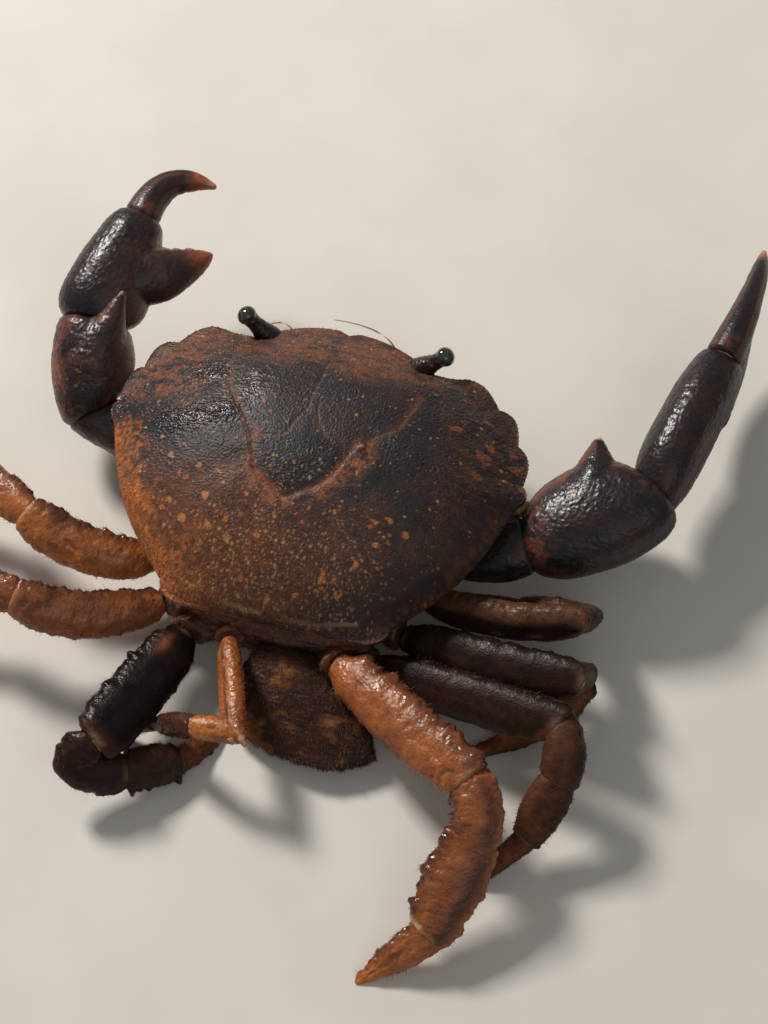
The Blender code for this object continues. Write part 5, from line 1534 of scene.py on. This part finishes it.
def build_feelers(materials):
    """A long jointed feeler under each side of the front, with a short one beside it."""
    for side, sign in SIDES:
        start, tip, bow = (vector(v) for v in ANTENNA[side])
        first, last = unit(tip - start + 4 * bow), unit(tip - start - 4 * bow)
        grid = limb(start, tip, first, last, lambda s: along(ANTENNA_RADIUS, s), bow=bow, rings=200, sides=16,
                    rounding=(0.15, 0.03))
        points, normals = skin_of(grid)
        s = grid["s"]
        rings = 0.018 * np.cos(s * TURN * ANTENNA_SEGMENTS) * step(s, 0.18, 0.24)
        whip = step(s, 0.12, 0.2)
        grid_piece("antenna_%s_whip" % side, points + normals * rings[..., None], materials["feeler"],
                   (0.2 + 0.2 * whip, 0.5 - 0.4 * whip, 0.3 - 0.3 * whip, 0.4 * whip),
                   ("antenna_" + side,))
        foot, knee = (on_side(place, sign) for place in ANTENNULE)
        way = unit(knee - foot)
        short = limb(foot, knee, way, way, lambda s: along(ANTENNULE_RADIUS, s), rings=30, sides=28)
        grid_piece("antennule_" + side, short["points"], materials["feeler"],
                   [m + 0 * short["s"] for m in (0.5, 0.3, 0.2, 0.1)])


def build_mouth(materials):
    """Two plates that close over the mouth, each with a step at its joint."""
    for side, sign in SIDES:
        foot, top = on_side(MOUTH_FOOT, sign), on_side(MOUTH_TOP, sign)
        way = unit(top - foot)
        out = np.cross((1, 0, 0), way)
        out = out if out[1] > 0 else -out
        shift = out * (MOUTH_CLEARANCE + MOUTH_HALF_THICKNESS)
        foot, top = foot + shift, top + shift
        grid = limb(foot, top, way, way,
                    lambda s: np.concatenate([along(MOUTH_HALF_WIDTH, s),
                                              np.full((len(s), 1), MOUTH_HALF_THICKNESS)], 1),
                    way_up=out, rings=110, sides=110, square=3.2, rounding=(0.25, 0.25))
        points, normals = skin_of(grid)
        s = grid["s"]
        joint = 0.2 * bell(s - 0.58, 0.02)
        furrow = 0.14 * bell(grid["side"] - 0.2, 0.1) * step(0.55 - s, 0, 0.1) * step(s, 0.05, 0.15)
        relief = 0.03 * beads(points, 0.4, 111) - joint - furrow + 0.03 * noise(points, 1.0, 112)
        points = points + normals * relief[..., None]
        tone = noise(points, 1.3, 113)
        marks = (0.3 + 0.3 * tone, 0.5 - 0.3 * tone, 0 * tone, 0.25 + 0.2 * tone)
        grid_piece("mouth_plate_%s_shell" % side, points, materials["body"], marks,
                   ("mouth_plate_" + side,))


# Body and tail flap


def build_body(materials):
    """The body under the shell, with its limb sockets blended in and grooves between its plates."""
    rings = []
    for y, half_top, half_mid, half_bottom, bottom_z in THORAX_STATIONS:
        mid_z = max(THORAX_MIDDLE_Z, bottom_z + THORAX_LEAST_SIDE)
        right = [
            (half_bottom / 3, bottom_z), (half_bottom, bottom_z),
            ((half_bottom + half_mid) / 2, (bottom_z + mid_z) * THORAX_CHAMFER),
            (half_mid, mid_z), (half_top, THORAX_TOP_Z), (half_top / 2, THORAX_TOP_Z),
        ]
        rings.append([(x, y, z) for x, z in right + [(-x, z) for x, z in reversed(right)]])
    shapes = [closed_grid(vector(rings))]
    limbs = [(name, joints[0], joints[1], bow) for name, (joints, bow, _) in LEG_JOINTS.items()]
    limbs += [("arm", joints[0], joints[1], (0, 0, 0)) for joints in ARM_JOINTS.values()]
    for name, root, knee, bow in limbs:
        kind = "arm" if name == "arm" else "last_leg" if name.endswith("4") else "leg"
        root = vector(root)
        way = unit(vector(knee) - root + 4 * vector(bow))
        sunk = HIGH_SOCKET_SUNK if root[2] > SOCKET_HIGH_Z else SOCKET_SUNK
        inner = np.array((root[0] * sunk[0], root[1] * sunk[1], min(root[2], SOCKET_HIGH_Z)))
        end = root - way * (GAP / 2)
        radius = SOCKET_RADIUS[kind]
        sizes = ((0, radius), (0.7, 0.92 * radius), (1, radius))
        socket = limb(inner, end, unit(end - inner), way, lambda s: along(sizes, s), rings=20, sides=32)
        shapes.append(closed_grid(socket["points"]))
    shape, normals = blended(shapes, BODY_VOXEL, BODY_SMOOTHING)
    points = shape[0]
    x, y, z = points.T
    belly = step(-normals[:, 2], 0.5, 0.9)
    plates = bell((y - 0.25 * np.abs(x) + 1.0) % 4.4 - 2.2, 0.22)
    middle = bell(x, 0.25)
    lumps = 0.12 * noise(points, 1.4, 121) + 0.07 * noise(points, 0.5, 122)
    warts = 0.1 * beads(points, 0.5, 123) * (1 - belly)
    relief = warts + lumps * (1 - belly) - 0.25 * np.maximum(plates, middle) * belly * (z < 1)
    fuzz_on_body(points, normals, materials)
    points = points + normals * relief[:, None]
    points[:, 2] = np.maximum(points[:, 2], 0)
    tone = noise(points, 1.1, 124)
    spots = step(noise(points, 0.6, 125), 0.35, 0.6) * (1 - belly)
    rust = clamp(0.25 + 0.5 * tone) * (0.3 + 0.7 * step(-x, -6, 6))
    left_root = step(-x, 6, 8) * step(-y, 8, 11)
    for name in ("right_4", "left_4"):
        near = step(-np.linalg.norm(points - vector(LEG_JOINTS[name][0][0]), axis=-1), -2.2, -1.2)
        rust = np.maximum(rust, 0.9 * near * (0.8 + 0.3 * tone))
    marks = (rust * (1 - belly), clamp(0.95 - 0.3 * tone) * (1 - belly),
             clamp(0.3 + 0.3 * step(x, 2, 8)) * (1 - belly),
             clamp(0.35 * belly + spots * (0.1 + 0.55 * left_root)))
    make_piece("body_shell", (points, *shape[1:]), materials["body"], marks, ("thorax",))


def build_rear_roll(materials):
    """The narrow fuzzy segment that fills the space between the shell's rear edge and the tail flap."""
    start, end = (vector(p) for p in REAR_ROLL)
    way = unit(end - start)
    grid = limb(start, end, way, way, lambda s: along(REAR_ROLL_SIZE, s), bow=REAR_ROLL_BOW,
                rings=REAR_ROLL_RINGS, sides=REAR_ROLL_SIDES, rounding=(0.4, 0.4))
    points, normals = skin_of(grid)
    relief = 0.14 * noise(points, 1.1, 141) + 0.07 * noise(points, 0.45, 142) + 0.07 * beads(points, 0.5, 143)
    folds = 0.16 * bell(points[..., 2] - 7.2 - 0.25 * noise(points, 2.0, 144), 0.16)
    points = points + normals * (relief - folds)[..., None]
    tone = noise(points, 0.9, 145)
    left = step(-points[..., 0], -2, 7)
    spots = specks(points, 0.55, 146, 0.3, 0.16, 0.2)
    grid_piece("rear_roll_shell", points, materials["body"],
               (clamp(0.2 + 0.25 * left + 0.4 * tone), 0.85 - 0.2 * tone, 0.35 - 0.3 * left,
                0.3 * spots * left))
    rng = np.random.default_rng(13)
    count = ROLL_FUZZ_COUNT
    ring, column = rng.integers(3, REAR_ROLL_RINGS - 3, count), rng.integers(0, REAR_ROLL_SIDES, count)
    roots, out = points[ring, column], normals[ring, column]
    ways = unit(out * 0.6 + np.array((0, -0.35, -0.2)) + rng.normal(size=roots.shape) * 0.35)
    places = np.stack([0.02 + 0.96 * ring / REAR_ROLL_RINGS, 0.02 + 0.96 * column / REAR_ROLL_SIDES], -1)
    bristles("rear_roll_fuzz", roots - out * ROOT_SUNK, ways, rng.uniform(0.15, 0.45, count),
             ROLL_FUZZ_WIDTH, places, materials["brown_bristle"], rng)


def fuzz_on_body(points, normals, materials):
    """Brown fuzz over the back of the body, between the shell's rear edge and the tail flap."""
    rng = np.random.default_rng(12)
    y, z = points[:, 1], points[:, 2]
    weight = step(-y, 10.0, 12.5) * step(z, 2.6, 4.0) * step(normals[:, 2] - normals[:, 1], -0.2, 0.5)
    weight = weight * (z < THORAX_TOP_Z - 0.15)
    chosen = rng.choice(len(points), BODY_FUZZ_COUNT, replace=False, p=weight / weight.sum())
    roots, out = points[chosen], normals[chosen]
    ways = unit(out * 0.6 + np.array((0, -0.3, -0.25)) + rng.normal(size=roots.shape) * 0.35)
    places = np.stack([(roots[:, 0] + 16) / 32, (roots[:, 2] - 1) / 8], -1)
    lengths = rng.uniform(0.2, 0.55, len(roots))
    bristles("body_fuzz", roots - out * ROOT_SUNK, ways, lengths, BRISTLE_WIDTH, places,
             materials["brown_bristle"], rng)


def flap_centre(s):
    """Points on the tail flap's middle line, from its four named points by a cubic curve."""
    a, b, c, d = (vector(p) for p in FLAP_PATH)
    p1 = (-5 * a + 18 * b - 9 * c + 2 * d) / 6
    p2 = (2 * a - 9 * b + 18 * c - 5 * d) / 6
    s = s[:, None]
    return a * (1 - s) ** 3 + p1 * (3 * s * (1 - s) ** 2) + p2 * (3 * s * s * (1 - s)) + d * s ** 3


def build_flap(materials):
    """The tail flap: six plates, each lapping the next, and a rounded end plate, with bristled edges."""
    across = np.array((1.0, 0, 0))
    rng = np.random.default_rng(9)
    roots, ways, places = [], [], []
    columns, row_count = FLAP_COLUMNS, FLAP_ROWS
    for index, (s0, s1) in enumerate(zip(FLAP_PLATES, FLAP_PLATES[1:])):
        end_plate = index == len(FLAP_PLATES) - 2
        share = np.linspace(0, 1, row_count)
        s = s0 + (s1 + (0 if end_plate else FLAP_LAP) - s0) * share
        centre = flap_centre(s)
        forward = unit(flap_centre(s + 0.01) - flap_centre(s - 0.01))
        upward = unit(np.cross(forward, across))
        upward = np.where(upward[:, 2:] < 0, -upward, upward)
        half = along(FLAP_HALF_WIDTH, s)[:, 0]
        if end_plate:
            half = half * np.sqrt(np.maximum(0.02, 1 - share ** 2 * TELSON_ROUNDNESS))
        turn = np.arange(columns) / columns * TURN
        f = np.cos(turn)
        flat = np.sign(f) * np.abs(f) ** 0.8
        lift = np.sign(np.sin(turn)) * np.abs(np.sin(turn)) ** 0.45
        seam = 0.25 * bell(share, 0.07) * (index > 0)
        seam = seam + 0.25 * bell(1 - share, 0.07) * (1 - end_plate)
        thick = FLAP_HALF_THICKNESS * np.sqrt(np.maximum(0.05, 1 - end_plate * share ** 14)) * (1 - seam)
        rise = thick[:, None] * lift
        sag = FLAP_SAG * flat ** 2 * half[:, None]
        bend = share if index == 0 else 1 - share if end_plate else np.ones(row_count)
        arch = -0.6 * (1 - flat ** 2) * bend[:, None]
        points = centre[:, None] + across * (half[:, None] * flat)[..., None]
        points = points + upward[:, None] * (rise - sag)[..., None] + forward[:, None] * arch[..., None]
        normals = grid_normals(points, centre[:, None])
        relief = (0.09 * beads(points, 0.5, 131) + 0.12 * noise(points, 1.1, 132)
                  + 0.05 * noise(points, 0.5, 135))
        rim = step(np.abs(flat)[None] + 0 * relief, 0.86, 1.0)
        relief = relief + rim * 0.12 * noise(points, 0.8, 136)
        points = points + normals * relief[..., None]
        points[..., 2] = np.maximum(points[..., 2], 0)
        x, y = points[..., 0], points[..., 1]
        tone = 0.6 * noise(points, 1.9, 133) + 0.4 * noise(points, 0.6, 134)
        left = step(-x, -3.5, 2.0)
        rear = step(-y, 20, 24)
        rust = step(tone + 0.22 * left + 0.22 * rear, 0.18, 0.55) * 0.75
        top = step(y, -19.0, -15.5)
        brown = clamp(0.35 - 0.4 * tone + 0.55 * top)
        wet = step(np.abs(flat)[None] + 0 * tone, 0.7, 1.0) * 0.6
        pale = 0.25 * step(tone, 0.55, 0.75)
        grid_piece("flap_plate_%d" % (index + 1), points, materials["flap"],
                   (rust, brown, wet * (1 - rust), pale), (FLAP_NODES[index],))
        count = FLAP_TOP_BRISTLES
        groups = [(rng.integers(2, row_count - 2, count), rng.integers(2, columns // 2 - 1, count))]
        edges = (0, 1, 2, columns - 1, columns // 2, columns // 2 - 1)
        count = FLAP_SIDE_BRISTLES
        groups.append((rng.integers(0, row_count, count), rng.choice(edges, count)))
        if end_plate:
            count = FLAP_END_BRISTLES
            end_rows = rng.integers(row_count - 7, row_count, count)
            groups.append((end_rows, rng.integers(0, columns // 2, count)))
        for rows, cols in groups:
            roots.append(points[rows, cols])
            way = normals[rows, cols] * 0.35 + forward[rows] * 0.8
            ways.append(unit(way + rng.normal(size=(len(rows), 3)) * 0.3))
            place = [(index + 0.1 + 0.8 * cols / columns) / 7, 0.02 + 0.96 * rows / row_count]
            places.append(np.stack(place, -1))
    roots, ways, places = (np.concatenate(group) for group in (roots, ways, places))
    low = roots[:, 2] < 0.7
    ways[:, 2] = np.where(low, np.maximum(ways[:, 2], 0.1), ways[:, 2])
    bristles("flap_bristles", roots, ways, rng.uniform(0.16, 0.42, len(roots)), BRISTLE_WIDTH, places,
             materials["brown_bristle"], rng)


# Stage


def build_floor():
    """A wide, plain floor under the crab."""
    material = plain_material("floor_finish", (0.74, 0.71, 0.65), (0.7, 0.67, 0.61), 0.85, grain=60)
    corners = ((-1, -1, 0), (1, -1, 0), (1, 1, 0), (-1, 1, 0))
    points = np.array(corners) * FLOOR_HALF_WIDTH
    mesh = mesh_from("floor", points * MM, np.array([(0, 1, 2, 3)]), NO_TRIS)
    mesh.materials.append(material)
    floor = new_object("floor", mesh)


def area_light(name, place, size, power, colour):
    """A square light that shines at the crab."""
    light = bpy.data.lights.new(name, "AREA")
    light.size = size
    light.energy = power
    light.color = colour
    thing = new_object(name, light)
    thing.location = place
    thing.rotation_euler = Vector(place).to_track_quat("Z", "Y").to_euler()


def build_stage():
    """A plain pale floor, soft studio light from the upper left, and the photo's camera."""
    build_floor()
    area_light("key_light", *KEY_LIGHT)
    area_light("fill_light", *FILL_LIGHT)
    world = bpy.data.worlds.new("soft_room")
    bpy.context.scene.world = world
    world.use_nodes = True
    set_inputs(world.node_tree.nodes["Background"], {"Color": ROOM_COLOUR, "Strength": ROOM_STRENGTH})
    azimuth, elevation = math.radians(CAMERA_AZIMUTH), math.radians(CAMERA_ELEVATION)
    back = Vector((math.sin(azimuth) * math.cos(elevation), -math.cos(azimuth) * math.cos(elevation),
                   math.sin(elevation)))
    camera = new_object("camera", bpy.data.cameras.new("camera"))
    camera.data.lens = CAMERA_LENS
    camera.data.sensor_width = SENSOR_WIDTH
    camera.location = Vector(CAMERA_TARGET) + back * CAMERA_DISTANCE
    camera.rotation_euler = back.to_track_quat("Z", "Y").to_euler()
    bpy.context.scene.camera = camera
    bpy.context.scene.view_settings.view_transform = "Standard"


build_stage()
finishes = make_materials()
build_carapace(finishes)
for number, leg_name in enumerate(LEG_JOINTS):
    build_leg(leg_name, number, finishes)
for number, arm_side in enumerate(ARM_JOINTS):
    build_arm(arm_side, number, finishes)
build_eyes(finishes)
build_feelers(finishes)
build_mouth(finishes)
build_body(finishes)
build_rear_roll(finishes)
build_flap(finishes)
